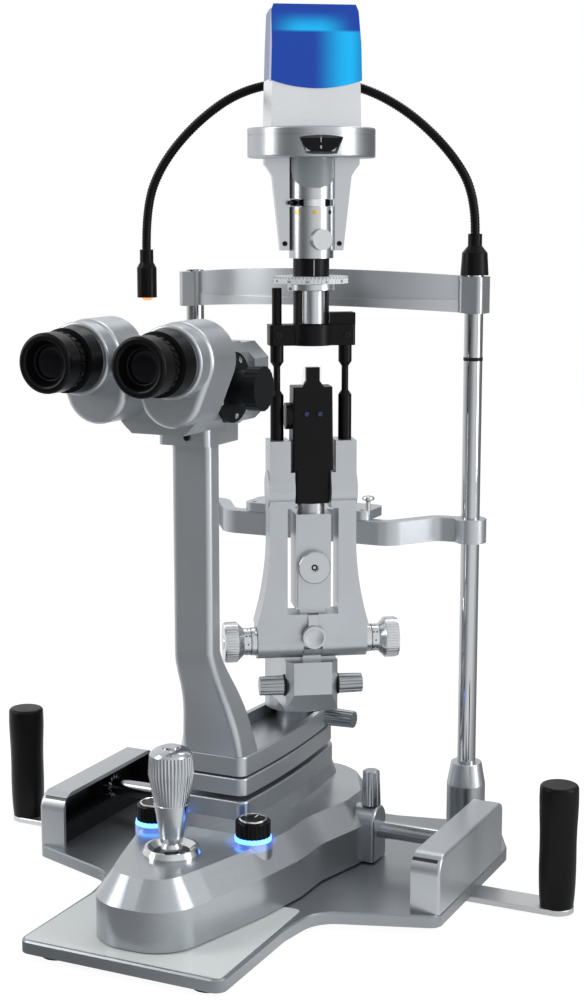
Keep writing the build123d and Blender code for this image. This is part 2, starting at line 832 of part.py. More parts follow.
def tongue_outline(grow):
    front = tongue_front_y - grow
    middle = (tongue_front_y + spindle_y) / 2
    half = tongue_half + grow
    hub = hub_radius + grow
    Line((-half, front), (half, front))
    ThreePointArc((half, front), (tongue_mid_half + grow, middle), (hub, spindle_y))
    ThreePointArc((hub, spindle_y), (0, spindle_y + hub), (-hub, spindle_y))
    ThreePointArc((-hub, spindle_y), (-tongue_mid_half - grow, middle), (-half, front))


with BuildPart() as xy_base:
    with BuildSketch(Plane.XY.offset(base_floor_z)):
        with BuildLine():
            base_outline()
        make_face()
    extrude(amount=base_wall_z - base_floor_z)
    with BuildSketch(Plane.XY.offset(base_wall_z)):
        with BuildLine():
            base_outline()
        make_face()
    extrude(amount=bevel_rise, taper=bevel_angle)
    with BuildSketch(Plane.XY.offset(base_top_z - 3.0)) as skirt:
        with BuildLine():
            tongue_outline(pedestal_grow + pedestal_flare)
        make_face()
        fillet(skirt.vertices().group_by(Axis.Y)[0], radius=12.0)
    extrude(amount=13.0, taper=math.degrees(math.atan(pedestal_flare / 13.0)))
    with BuildSketch(Plane.XY.offset(base_top_z - 3.0)) as pedestal_plan:
        with BuildLine():
            tongue_outline(pedestal_grow)
        make_face()
        fillet(pedestal_plan.vertices().group_by(Axis.Y)[0], radius=8.0)
    extrude(amount=pedestal_top_z - base_top_z + 3.0)
    fillet(xy_base.faces().sort_by(Axis.Z)[-1].outer_wire().edges(), radius=2.0)
    with BuildSketch(side_plane(-ear_half)):
        ear_arch_z = axle_z + ear_crown - ear_half_y
        with Locations((axle_y, (base_floor_z + ear_arch_z) / 2)):
            Rectangle(2 * ear_half_y, ear_arch_z - base_floor_z)
        with Locations((axle_y, ear_arch_z)):
            Circle(ear_half_y)
    extrude(amount=2 * ear_half)
    ear_rims = xy_base.faces().filter_by(Axis.X)
    fillet(ear_rims.sort_by(Axis.X)[-1].outer_wire().edges().sort_by(Axis.Z)[1:], radius=2.5)
    fillet(xy_base.faces().filter_by(Axis.X).sort_by(Axis.X)[0].outer_wire().edges().sort_by(Axis.Z)[1:],
           radius=2.5)
    with BuildSketch(Plane.XY.offset(base_floor_z)):
        with BuildLine():
            base_outline()
        make_face()
        offset(amount=-cavity_inset, mode=Mode.REPLACE)
    extrude(amount=cavity_top_z - base_floor_z, mode=Mode.SUBTRACT)
    with BuildSketch(Plane.XY.offset(base_floor_z + base_shell)):
        with Locations((0, spindle_y)):
            Circle(spindle_radius + base_shell)
        with Locations((-dimmer_x, dimmer_y), (dimmer_x, dimmer_y)):
            Circle(8.0)
    extrude(amount=cavity_top_z - base_floor_z)
    with BuildSketch(Plane.XY.offset(base_wall_z)):
        with Locations((-dimmer_x, dimmer_y), (dimmer_x, dimmer_y)):
            Circle(dimmer_radius + 1.5)
    extrude(amount=base_top_z + 2.5 - base_wall_z)
    with BuildSketch(Plane.XY.offset(base_floor_z)):
        with Locations((0, spindle_y)):
            Circle(spindle_radius + shaft_clearance)
    extrude(amount=pedestal_top_z - base_floor_z + 1.0, mode=Mode.SUBTRACT)
    with BuildSketch(Plane.XY.offset(cavity_top_z - 1.0)):
        with Locations((stick_x, stick_y)):
            Circle(stick_bore_radius)
    extrude(amount=base_top_z - cavity_top_z + 2.0, mode=Mode.SUBTRACT)
    with BuildSketch(side_plane(-ear_half - 1.0)):
        with Locations((axle_y, axle_z)):
            Circle(axle_radius + shaft_clearance)
    extrude(amount=2 * ear_half + 2.0, mode=Mode.SUBTRACT)
    with BuildSketch(Plane(origin=(stick_x - stick_bore_radius - 8.0, 0, 0), x_dir=(0, 1, 0), z_dir=(1, 0, 0))):
        with Locations((stick_y, stick_pivot_z)):
            Circle(gimbal_pin_radius + shaft_clearance)
    extrude(amount=2 * stick_bore_radius + 16.0, mode=Mode.SUBTRACT)
    with BuildSketch(Plane.XY.offset(base_top_z - 8.0)):
        with Locations((-dimmer_x, dimmer_y), (dimmer_x, dimmer_y)):
            Circle(dimmer_pin_radius + shaft_clearance)
    extrude(amount=20.0, mode=Mode.SUBTRACT)
    with BuildSketch(Plane.XY.offset(axle_z + axle_radius + 2.5)):
        with Locations((clamp_x, axle_y)):
            Circle(dimmer_pin_radius + shaft_clearance)
    extrude(amount=20.0, mode=Mode.SUBTRACT)
write_piece(xy_base, "xy_base")

# Axle clamp knob: fluted vertical knob that clamps the base on the axle
def fluted_knob(radius, flutes, flute_radius):
    Circle(radius)
    with PolarLocations(radius + flute_radius * 0.45, flutes):
        Circle(flute_radius, mode=Mode.SUBTRACT)


ear_top_z = axle_z + ear_crown
with BuildPart() as axle_clamp_knob:
    with BuildSketch(Plane.XY.offset(ear_top_z + slide_gap)):
        with Locations((clamp_x, axle_y)):
            fluted_knob(clamp_knob_radius, 12, 1.3)
    extrude(amount=clamp_knob_height, taper=2.0)
    with BuildSketch(Plane.XY.offset(ear_top_z + slide_gap + clamp_knob_height)):
        with Locations((clamp_x, axle_y)):
            Circle(clamp_knob_radius - 1.8)
    extrude(amount=0.8, taper=40)
    with BuildSketch(Plane.XY.offset(ear_top_z - 9.0)):
        with Locations((clamp_x, axle_y)):
            Circle(dimmer_pin_radius)
    extrude(amount=10.0)
write_piece(axle_clamp_knob, "axle_clamp_knob")

# Dimmer light rings: glowing rings under the two brightness knobs
ring_z = base_top_z + 2.5
with BuildPart() as dimmer_light_rings:
    with BuildSketch(Plane.XY.offset(ring_z)):
        with Locations((-dimmer_x, dimmer_y), (dimmer_x, dimmer_y)):
            Circle(dimmer_radius + 0.6)
            Circle(dimmer_pin_radius + 2.0, mode=Mode.SUBTRACT)
    extrude(amount=glow_ring_height)
write_piece(dimmer_light_rings, "dimmer_light_rings")

# Dimmer knobs: ribbed black knobs, one for each lamp
knob_z = ring_z + glow_ring_height + slide_gap
for side_name, side in (("left", -1), ("right", 1)):
    with BuildPart() as dimmer_knob:
        with BuildSketch(Plane.XY.offset(knob_z)):
            with Locations((side * dimmer_x, dimmer_y)):
                fluted_knob(dimmer_radius, 24, 1.2)
        extrude(amount=dimmer_height)
        with BuildSketch(Plane.XY.offset(knob_z + dimmer_height)):
            with Locations((side * dimmer_x, dimmer_y)):
                Circle(dimmer_radius - 2.2)
        extrude(amount=1.4, taper=35)
        with BuildSketch(Plane.XY.offset(base_top_z - 6.0)):
            with Locations((side * dimmer_x, dimmer_y)):
                Circle(dimmer_pin_radius)
        extrude(amount=knob_z - base_top_z + 7.0)
    write_piece(dimmer_knob, "dimmer_knob_" + side_name)


def stick_section():
    return Plane(origin=(stick_x, stick_y, 0), x_dir=(1, 0, 0), z_dir=(0, -1, 0))


stick_axis = Axis((stick_x, stick_y, 0), (0, 0, 1))

# Joystick bezel: chromed dish round the stick
with BuildPart() as joystick_bezel:
    with BuildSketch(stick_section()):
        with BuildLine():
            Polyline((stick_bore_radius, base_top_z), (stick_ring_radius, base_top_z),
                     (stick_ring_radius, base_top_z + 2.0), (stick_ring_radius - 2.0, base_top_z + stick_ring_height),
                     (stick_ring_radius - 4.0, base_top_z + stick_ring_height), (stick_bore_radius - 1.0, base_top_z + 2.0),
                     (stick_bore_radius, base_top_z), close=False)
        make_face()
    revolve(axis=stick_axis)
write_piece(joystick_bezel, "joystick_bezel")

# Gimbal ring: the joystick rocks in it to one side, and it rocks in the base to the front
ring_radius = stick_bore_radius - 0.8
ring_inner = stick_core_radius + 3.2
with BuildPart() as gimbal_ring:
    with BuildSketch(Plane.XY.offset(stick_pivot_z - 2.5)):
        with Locations((stick_x, stick_y)):
            Circle(ring_radius)
            Circle(ring_inner, mode=Mode.SUBTRACT)
    extrude(amount=5.0)
    with BuildSketch(Plane(origin=(stick_x, stick_y - ring_radius - 1.0, stick_pivot_z), x_dir=(1, 0, 0),
                           z_dir=(0, 1, 0))):
        Circle(gimbal_pin_radius + shaft_clearance)
    extrude(amount=2 * ring_radius + 2.0, mode=Mode.SUBTRACT)
    for side in (-1, 1):
        with BuildSketch(side_plane(stick_x + side * (ring_radius - 1.5))):
            with Locations((stick_y, stick_pivot_z)):
                Circle(gimbal_pin_radius)
        extrude(amount=side * 7.0)
write_piece(gimbal_ring, "gimbal_ring")

# Joystick stem: steel core on the gimbal with a turned collar and a shaft for the grip
with BuildPart() as joystick_stem:
    with BuildSketch(stick_section()):
        with BuildLine():
            Polyline((0, stick_pivot_z - 6.0), (stick_core_radius, stick_pivot_z - 6.0),
                     (stick_core_radius, base_top_z + 1.5), (stick_neck_radius, base_top_z + 3.5),
                     (stick_neck_radius, stick_collar_z - 4.0), (stick_neck_radius - 2.0, stick_collar_z),
                     (stick_core_radius, stick_collar_z), (stick_core_radius, stick_top_z - 16.0),
                     (0, stick_top_z - 16.0), close=True)
        make_face()
    revolve(axis=stick_axis)
    with BuildSketch(Plane(origin=(stick_x, stick_y - ring_radius + 1.0, stick_pivot_z), x_dir=(1, 0, 0),
                           z_dir=(0, 1, 0))):
        Circle(gimbal_pin_radius)
    extrude(amount=2 * ring_radius - 2.0)
write_piece(joystick_stem, "joystick_stem")

# Joystick grip: ribbed head; turning it raises and lowers the arms
grip_low_z = stick_collar_z + slide_gap
core_bore = stick_core_radius + shaft_clearance
rib_low = stick_widest_z - stick_shoulder_z
rib_high = stick_top_z - 6.5 - stick_widest_z
with BuildPart() as joystick_grip:
    with BuildSketch(Plane.XY.offset(stick_widest_z)):
        with Locations((stick_x, stick_y)):
            fluted_knob(stick_grip_radius, 40, 1.15)
    extrude(amount=-rib_low, taper=math.degrees(math.atan((stick_grip_radius - stick_cone_radius) / rib_low)))
    with BuildSketch(Plane.XY.offset(stick_widest_z)):
        with Locations((stick_x, stick_y)):
            fluted_knob(stick_grip_radius, 40, 1.15)
    extrude(amount=rib_high, taper=3.5)
    with BuildSketch(stick_section()):
        with BuildLine():
            Polyline((0, grip_low_z), (stick_neck_radius + 0.4, grip_low_z),
                     (stick_cone_radius, stick_shoulder_z), (stick_cone_radius - 1.0, stick_shoulder_z + 1.0),
                     (stick_cone_radius - 1.0, stick_top_z - 7.0), (stick_grip_radius - 1.2, stick_top_z - 6.5))
            ThreePointArc((stick_grip_radius - 1.2, stick_top_z - 6.5), (13.0, stick_top_z - 2.8),
                          (6.5, stick_top_z - 1.2))
            Polyline((6.5, stick_top_z - 1.2), (6.5, stick_top_z), (0, stick_top_z), (0, grip_low_z))
        make_face()
    revolve(axis=stick_axis)
    with BuildSketch(Plane.XY.offset(grip_low_z - 1.0)):
        with Locations((stick_x, stick_y)):
            Circle(core_bore)
    extrude(amount=stick_top_z - 13.0 - grip_low_z, mode=Mode.SUBTRACT)
write_piece(joystick_grip, "joystick_grip")

# Spindle: the steel column that carries both arms and slides up and down in the base
spindle_low_z = base_floor_z + base_shell / 2 + 3.5
with BuildPart() as spindle:
    with BuildSketch(Plane(origin=(0, spindle_y, 0), x_dir=(1, 0, 0), z_dir=(0, -1, 0))):
        with BuildLine():
            Polyline((0, spindle_low_z), (spindle_radius - 1.0, spindle_low_z),
                     (spindle_radius, spindle_low_z + 1.0), (spindle_radius, lift_top_z),
                     (arm_pin_radius, lift_top_z), (arm_pin_radius, spindle_cap_z),
                     (arm_pin_radius + 3.0, spindle_cap_z), (arm_pin_radius + 3.0, spindle_cap_z + 3.0),
                     (arm_pin_radius + 1.5, spindle_cap_z + 4.0), (0, spindle_cap_z + 4.0), close=True)
        make_face()
    revolve(axis=Axis((0, spindle_y, 0), (0, 0, 1)))
write_piece(spindle, "spindle")

# Lift block: casting on the spindle that rises and falls with it
with BuildPart() as lift_block:
    with BuildSketch(Plane.XY.offset(lift_block_z)) as lift_plan:
        with BuildLine():
            tongue_outline(0.5)
        make_face()
        fillet(lift_plan.vertices().group_by(Axis.Y)[0], radius=8.0)
    extrude(amount=lift_block_height)
    fillet(lift_block.faces().sort_by(Axis.Z)[-1].outer_wire().edges(), radius=1.5)
    fillet(lift_block.faces().sort_by(Axis.Z)[0].outer_wire().edges(), radius=1.0)
    with BuildSketch(Plane.XY.offset(lift_block_z)):
        with Locations((0, spindle_y)):
            Circle(spindle_radius)
    extrude(amount=lift_block_height, mode=Mode.SUBTRACT)
write_piece(lift_block, "lift_block")

# Scope arm: one casting with the hub, a tray, a slender column and the bracket under the microscope
foot_sections = [
    (arm_top_z, tongue_half - 2.5, tongue_front_y + 0.5, foot_back_y),
    (arm_top_z + 24.0, 24.5, -41.5, -12.0),
    (foot_top_z, 20.8, -49.0, -21.0),
    (column_foot_z - 14.0, column_half + 1.2, column_front_y + 4.5, -42.0),
    (column_foot_z, column_half, column_front_y, column_front_y + column_depth),
]
with BuildPart() as scope_arm:
    with BuildSketch(Plane.XY.offset(arm_z)) as arm_plan:
        with BuildLine():
            tongue_outline(-0.5)
        make_face()
        fillet(arm_plan.vertices().group_by(Axis.Y)[0], radius=8.0)
    extrude(amount=arm_height)
    fillet(scope_arm.faces().sort_by(Axis.Z)[-1].outer_wire().edges(), radius=1.5)
    with BuildSketch(Plane.XY.offset(arm_top_z)) as tray_recess:
        with BuildLine():
            tongue_outline(-0.5 - tray_wall)
        make_face()
        with Locations((0, tongue_front_y)):
            Rectangle(80, 2 * (foot_back_y + 4.0 - tongue_front_y), mode=Mode.SUBTRACT)
        with Locations((0, spindle_y)):
            Circle(arm_pin_radius + 9.0, mode=Mode.SUBTRACT)
        fillet(tray_recess.vertices().group_by(Axis.Y)[0], radius=5.0)
    extrude(amount=-(arm_height - tray_floor), mode=Mode.SUBTRACT)
    with BuildSketch(Plane.XY.offset(arm_z)):
        with Locations((0, spindle_y)):
            Circle(arm_pin_radius + shaft_clearance)
    extrude(amount=arm_height, mode=Mode.SUBTRACT)
    with BuildSketch(side_plane(arm_pin_radius + 3.0)):
        with Locations((spindle_y, arm_z + arm_height / 2)):
            Circle(dimmer_pin_radius + shaft_clearance)
    extrude(amount=hub_radius, mode=Mode.SUBTRACT)
    for level, half, front, back in foot_sections:
        with BuildSketch(Plane.XY.offset(level)):
            with Locations((0, (front + back) / 2)):
                RectangleRounded(2 * half, back - front, 5.0)
    loft()
    with BuildSketch(Plane.XY.offset(column_foot_z)):
        with Locations((0, column_front_y + column_depth / 2)):
            RectangleRounded(2 * column_half, column_depth, 5.0)
    extrude(amount=column_top_z - column_foot_z)
    with BuildSketch(Plane.XY.offset(column_top_z)):
        with Locations((0, bracket_front_y + bracket_depth / 2)):
            RectangleRounded(2 * bracket_half, bracket_depth, 5.0)
    extrude(amount=bracket_height)
write_piece(scope_arm, "scope_arm")

# Scope lock knob: fluted knob in the side of the arm's hub
with BuildPart() as scope_lock_knob:
    with BuildSketch(side_plane(hub_radius + slide_gap)):
        with Locations((spindle_y, arm_z + arm_height / 2)):
            fluted_knob(lock_knob_radius, 12, 1.3)
    extrude(amount=25.0, taper=1.5)
    with BuildSketch(side_plane(arm_pin_radius + 5.0)):
        with Locations((spindle_y, arm_z + arm_height / 2)):
            Circle(dimmer_pin_radius)
    extrude(amount=hub_radius - arm_pin_radius)
write_piece(scope_lock_knob, "scope_lock_knob")


# Microscope body: round belly behind the prisms, block with the drum, eight-sided plate at the back
channel_places = [(-channel_x, optic_z), (channel_x, optic_z)]
body_mid_z = (head_floor_z + body_top_z) / 2
with BuildPart() as scope_body:
    with BuildSketch(front_plane(head_plate_front_y)) as body_front:
        with Locations((0, body_mid_z)):
            Rectangle(2 * body_half, body_top_z - head_floor_z)
        chamfer(body_front.vertices().group_by(Axis.Z)[-1], length=8.0)
    extrude(amount=head_plate_front_y - belly_front_y)
    with BuildSketch(front_plane(belly_back_y)):
        with Locations((0, optic_z + 3.0)):
            Circle(belly_radius)
    extrude(amount=belly_back_y - belly_front_y)
    with BuildSketch(front_plane(head_back_y)) as back_plate:
        with Locations((0, body_mid_z)):
            Rectangle(2 * plate_half, body_top_z - head_floor_z - 3.0)
        chamfer(back_plate.vertices(), length=12.0)
    extrude(amount=head_back_y - head_plate_front_y)
    with BuildSketch(Plane.XY.offset(head_floor_z - 12.0)):
        Rectangle(200, 600)
    extrude(amount=12.0, mode=Mode.SUBTRACT)
    with BuildSketch(side_plane(-plate_half)):
        with Locations((drum_y, optic_z)):
            Circle(drum_radius + slide_gap)
    extrude(amount=2 * plate_half, mode=Mode.SUBTRACT)
    with BuildSketch(front_plane(head_back_y)):
        with Locations(*channel_places):
            Circle(channel_radius)
    extrude(amount=head_back_y - belly_front_y, mode=Mode.SUBTRACT)
write_piece(scope_body, "scope_body")

# Magnification drum: black drum across the body with a knob on each side
with BuildPart() as magnification_drum:
    with BuildSketch(side_plane(-drum_face_x)):
        with Locations((drum_y, optic_z)):
            Circle(drum_radius)
    extrude(amount=2 * drum_face_x)
    with BuildSketch(side_plane(-drum_knob_x)):
        with Locations((drum_y, optic_z)):
            Circle(drum_knob_radius - 3.5)
    extrude(amount=2 * drum_knob_x)
    for side in (-1, 1):
        with BuildSketch(side_plane(side * drum_knob_x)):
            with Locations((drum_y, optic_z)):
                fluted_knob(drum_knob_radius, 24, 0.8)
        extrude(amount=side * drum_knob_length)
    with BuildSketch(front_plane(drum_y + drum_radius + 1.0)):
        with Locations(*channel_places):
            Circle(channel_radius)
    extrude(amount=2 * drum_radius + 2.0, mode=Mode.SUBTRACT)
write_piece(magnification_drum, "magnification_drum")

# Objective: black ring with its front lens, on the back of the body
with BuildPart() as objective:
    with BuildSketch(side_plane(0)):
        with BuildLine():
            Polyline((head_back_y, optic_z), (head_back_y, optic_z + objective_radius),
                     (head_back_y + objective_length, optic_z + objective_radius),
                     (head_back_y + objective_length, optic_z + objective_radius - 3.0),
                     (head_back_y + 6.0, optic_z + objective_radius - 4.5))
            Polyline((head_back_y + 6.0, optic_z + objective_radius - 4.5), (head_back_y + 8.0, optic_z + 11.0),
                     (head_back_y + 8.0, optic_z), (head_back_y, optic_z))
        make_face()
    revolve(axis=Axis((0, 0, optic_z), (0, 1, 0)))
write_piece(objective, "objective")

# Prism housings: each turns on its channel to set the distance between the eyes
for side_name, side in (("left", -1), ("right", 1)):
    with BuildPart() as prism_housing:
        with BuildSketch(front_plane(prism_back_y)):
            with Locations((side * eyepiece_x, eyepiece_z)):
                Circle(prism_radius)
            with Locations((side * prism_low_x, prism_low_z)):
                Circle(prism_low_radius)
            make_hull()
        extrude(amount=prism_depth - prism_step)
        fillet(prism_housing.faces().sort_by(Axis.Y)[0].outer_wire().edges(), radius=5.0)
        with BuildSketch(front_plane(prism_back_y)):
            with Locations((side * eyepiece_x, eyepiece_z)):
                Circle(prism_radius - 1.5)
        extrude(amount=prism_depth)
        fillet(prism_housing.faces().sort_by(Axis.Y)[0].outer_wire().edges(), radius=2.0)
        with BuildSketch(front_plane(prism_front_y)):
            with Locations((side * eyepiece_x, eyepiece_z)):
                Circle(eyepiece_ring_radius - 1.0)
        extrude(amount=2.0)
        with BuildSketch(front_plane(prism_back_y + 9.0)):
            with Locations((side * channel_x, optic_z)):
                Circle(channel_radius - shaft_clearance)
        extrude(amount=10.0)
        with BuildSketch(front_plane(prism_back_y + 9.0)):
            with Locations((side * channel_x, optic_z)):
                Circle(channel_radius - 2.0)
        extrude(amount=20.0, mode=Mode.SUBTRACT)
        with BuildSketch(front_plane(prism_front_y + 12.0)):
            with Locations((side * eyepiece_x, eyepiece_z)):
                Circle(eyepiece_tube_radius + shaft_clearance)
        extrude(amount=20.0, mode=Mode.SUBTRACT)
    write_piece(prism_housing, "prism_housing_" + side_name)

# Eyepieces: focusing tubes with a ribbed ring and a hollow eyecup
cup_z = eyepiece_z
for side_name, side in (("left", -1), ("right", 1)):
    with BuildPart() as eyepiece:
        with BuildSketch(side_plane(side * eyepiece_x)):
            with BuildLine():
                Polyline((prism_front_y + 10.0, cup_z), (prism_front_y + 10.0, cup_z + eyepiece_tube_radius),
                         (prism_front_y - 2.3, cup_z + eyepiece_tube_radius),
                         (prism_front_y - 2.3, cup_z + eyepiece_ring_radius),
                         (prism_front_y - 2.0 - eyepiece_ring_depth, cup_z + eyepiece_ring_radius - 0.8),
                         (prism_front_y - 3.0 - eyepiece_ring_depth, cup_z + eyepiece_neck_radius),
                         (eyecup_front_y + 18.0, cup_z + eyepiece_neck_radius),
                         (eyecup_front_y + 15.0, cup_z + eyecup_radius), (eyecup_front_y + 3.0, cup_z + eyecup_radius))
                ThreePointArc((eyecup_front_y + 3.0, cup_z + eyecup_radius),
                              (eyecup_front_y, cup_z + eyecup_radius - 3.0),
                              (eyecup_front_y + 3.0, cup_z + eyecup_radius - 6.0))
                Polyline((eyecup_front_y + 3.0, cup_z + eyecup_radius - 6.0),
                         (eyecup_front_y + 9.0, cup_z + lens_radius + 1.0), (eyecup_front_y + 9.0, cup_z + lens_radius))
                Polyline((eyecup_front_y + 9.0, cup_z + lens_radius), (eyecup_front_y + 7.5, cup_z + 7.0),
                         (eyecup_front_y + 7.5, cup_z), (prism_front_y + 10.0, cup_z))
            make_face()
        revolve(axis=Axis((side * eyepiece_x, 0, cup_z), (0, 1, 0)))
        with BuildSketch(front_plane(eyecup_front_y + 21.5)):
            with Locations((side * eyepiece_x, cup_z)):
                Circle(eyepiece_neck_radius + 1.4)
                with PolarLocations(eyepiece_neck_radius + 1.8, 24):
                    Circle(1.3, mode=Mode.SUBTRACT)
        extrude(amount=4.0)
    write_piece(eyepiece, "eyepiece_" + side_name)

# Illumination arm: hub on the spindle, faceted block under the tower, and a lug with a sleeve to tilt on
arm_front = -block_front
with BuildPart() as illumination_arm:
    with BuildSketch(tower_level(block_bottom_z)):
        with BuildLine():
            Polyline((-block_half, arm_front), (block_half, arm_front), (block_shoulder, arm_front + 8.0),
                     (block_shoulder, 14.0), (hub_radius - 1.0, tower_reach - 8.0),
                     (1.0 - hub_radius, tower_reach - 8.0), (-block_shoulder, 14.0),
                     (-block_shoulder, arm_front + 8.0), close=True)
        make_face()
        with Locations((0, tower_reach)):
            Circle(hub_radius)
    extrude(amount=block_top_z - block_bottom_z)
    with BuildSketch(tower_level(hub_z)):
        with Locations((0, tower_reach)):
            Circle(hub_radius)
    extrude(amount=block_bottom_z - hub_z)
    with BuildSketch(tower_side(-2 * block_half)):
        with BuildLine():
            Polyline((arm_front - 1.0, block_bottom_z - 1.0), (arm_front + 10.0, block_bottom_z - 1.0),
                     (arm_front - 1.0, block_bottom_z + 18.0), close=True)
        make_face()
    extrude(amount=4 * block_half, mode=Mode.SUBTRACT)
    with BuildSketch(tower_side(-lug_half)):
        with Locations((0, tilt_z)):
            Circle(lug_radius)
        with BuildLine():
            Line((0, tilt_z), tilt_spot(201.5))
            ThreePointArc(tilt_spot(201.5), tilt_spot(280.0), tilt_spot(358.5))
            Line(tilt_spot(358.5), (0, tilt_z))
        make_face()
        with Locations((0, (block_top_z + tilt_z - 10.0) / 2)):
            Rectangle(16.0, tilt_z - 10.0 - block_top_z)
    extrude(amount=2 * lug_half)
    with BuildSketch(tower_side(1.0 - barrel_half)):
        with Locations((0, tilt_z)):
            Circle(sleeve_radius)
    extrude(amount=2 * barrel_half - 2.0)
    with BuildSketch(tower_side(-barrel_half)):
        with Locations((0, tilt_z)):
            Circle(slit_shaft_radius + shaft_clearance)
    extrude(amount=2 * barrel_half, mode=Mode.SUBTRACT)
    with BuildSketch(tower_level(hub_z)):
        with Locations((0, tower_reach)):
            Circle(arm_pin_radius + shaft_clearance)
    extrude(amount=block_top_z - hub_z, mode=Mode.SUBTRACT)
    for side in (-1, 1):
        with BuildSketch(tower_side(side * (block_shoulder - 12.0))):
            with Locations((lock_knob_y, lock_knob_z)):
                Circle(dimmer_pin_radius + shaft_clearance)
        extrude(amount=side * 20.0, mode=Mode.SUBTRACT)
write_piece(illumination_arm, "illumination_arm")

# Arm lock knobs: fluted knobs on both sides of the block
for side_name, side in (("left", -1), ("right", 1)):
    with BuildPart() as arm_lock_knob:
        with BuildSketch(tower_side(side * (block_shoulder + 1.5))):
            with Locations((lock_knob_y, lock_knob_z)):
                fluted_knob(lock_knob_radius + 0.4, 12, 1.2)
        extrude(amount=side * lock_knob_length, taper=1.5)
        with BuildSketch(tower_side(side * (block_shoulder - 10.0))):
            with Locations((lock_knob_y, lock_knob_z)):
                Circle(dimmer_pin_radius)
        extrude(amount=side * 12.0)
    write_piece(arm_lock_knob, "arm_lock_knob_" + side_name)

# Slit width knobs: two ribbed knobs on one shaft through the tilt sleeve
with BuildPart() as slit_width_knobs:
    with BuildSketch(tower_side(-barrel_half - 1.0)):
        with Locations((0, tilt_z)):
            Circle(slit_shaft_radius)
    extrude(amount=2 * barrel_half + 2.0)
    for side in (-1, 1):
        with BuildSketch(tower_level(tilt_z)):
            with BuildLine():
                Polyline((side * (barrel_half + slide_gap), 0),
                         (side * (barrel_half + slide_gap), slit_neck_radius + 0.5),
                         (side * (barrel_half + 4.0), slit_neck_radius + 0.5),
                         (side * (barrel_half + 4.2), slit_neck_radius),
                         (side * (barrel_half + 11.0), slit_neck_radius),
                         (side * (barrel_half + 16.0), slit_knob_radius - 0.8),
                         (side * (slit_knob_end_x - 0.5), slit_knob_radius - 0.8),
                         (side * (slit_knob_end_x - 0.5), 6.0), (side * slit_knob_end_x, 5.5),
                         (side * slit_knob_end_x, 0), close=True)
            make_face()
        revolve(axis=Axis(tower_point(0, 0, tilt_z), tower_right))
    for side in (-1, 1):
        with BuildSketch(tower_side(side * (barrel_half + 16.5))):
            with Locations((0, tilt_z)):
                fluted_knob(slit_knob_radius, 40, 0.75)
        extrude(amount=side * (slit_knob_end_x - barrel_half - 18.5))
write_piece(slit_width_knobs, "slit_width_knobs")

# Fork: the tilting casting with a barrel below and two legs
fork_front = -fork_depth / 2
with BuildPart() as tower_fork:
    with BuildSketch(tower_face(fork_front)):
        for side in (-1, 1):
            with BuildLine():
                Polyline((0, tilt_z), (side * barrel_half, tilt_z), (side * barrel_half, tilt_z + 13.0),
                         (side * (barrel_half + 1.0), tilt_z + 15.5))
                ThreePointArc((side * (barrel_half + 1.0), tilt_z + 15.5),
                              (side * (fork_half + 2.6), (fork_waist_z + tilt_z + 14.5) / 2 + 3.0),
                              (side * fork_half, fork_waist_z))
                Polyline((side * fork_half, fork_waist_z), (side * fork_half, fork_top_z),
                         (side * fork_slot_half, fork_top_z), (side * fork_slot_half, fork_lobe_top_z),
                         (side * fork_lobe_half, fork_lobe_top_z), (side * fork_lobe_half, fork_lobe_low_z),
                         (side * fork_window_half, fork_lobe_low_z), (side * fork_window_half, fork_window_z),
                         (0, fork_window_z), (0, tilt_z))
            make_face()
    extrude(amount=-fork_depth)
    with BuildSketch(tower_side(-barrel_half)):
        with Locations((0, tilt_z)):
            Circle(barrel_radius)
    extrude(amount=2 * barrel_half)
    for side in (-1, 1):
        with BuildSketch(tower_side(side * fork_lobe_half)):
            with Locations((0, (fork_lobe_low_z + fork_lobe_top_z) / 2)):
                Circle(fork_lobe_radius)
        extrude(amount=side * (fork_half + 0.8 - fork_lobe_half))
    with BuildSketch(tower_side(-lug_half - 0.3)):
        with Locations((0, tilt_z)):
            Circle(lug_radius + 0.5)
        with Locations((0, tilt_z - barrel_radius)):
            Rectangle(4 * barrel_radius, 2 * barrel_radius)
    extrude(amount=2 * lug_half + 0.6, mode=Mode.SUBTRACT)
    with BuildSketch(tower_side(-2 * barrel_half)):
        with Locations((0, tilt_z)):
            Circle(sleeve_radius + shaft_clearance)
    extrude(amount=4 * barrel_half, mode=Mode.SUBTRACT)
    with BuildSketch(tower_level(fork_top_z)):
        with Locations((-rod_x, 0), (rod_x, 0)):
            Circle(rod_radius)
    extrude(amount=-12.0, mode=Mode.SUBTRACT)
    with BuildSketch(tower_face(fork_front - 5.0)):
        with Locations((0, latch_pivot_z - 9.0)):
            Rectangle(latch_slot, 40.0)
    extrude(amount=-latch_slot_depth - 5.0, mode=Mode.SUBTRACT)
    with BuildSketch(tower_side(-latch_slot / 2 - 3.5)):
        with Locations((fork_front + 2.2, latch_pivot_z)):
            Circle(gimbal_pin_radius + shaft_clearance)
    extrude(amount=latch_slot + 7.0, mode=Mode.SUBTRACT)
write_piece(tower_fork, "tower_fork")

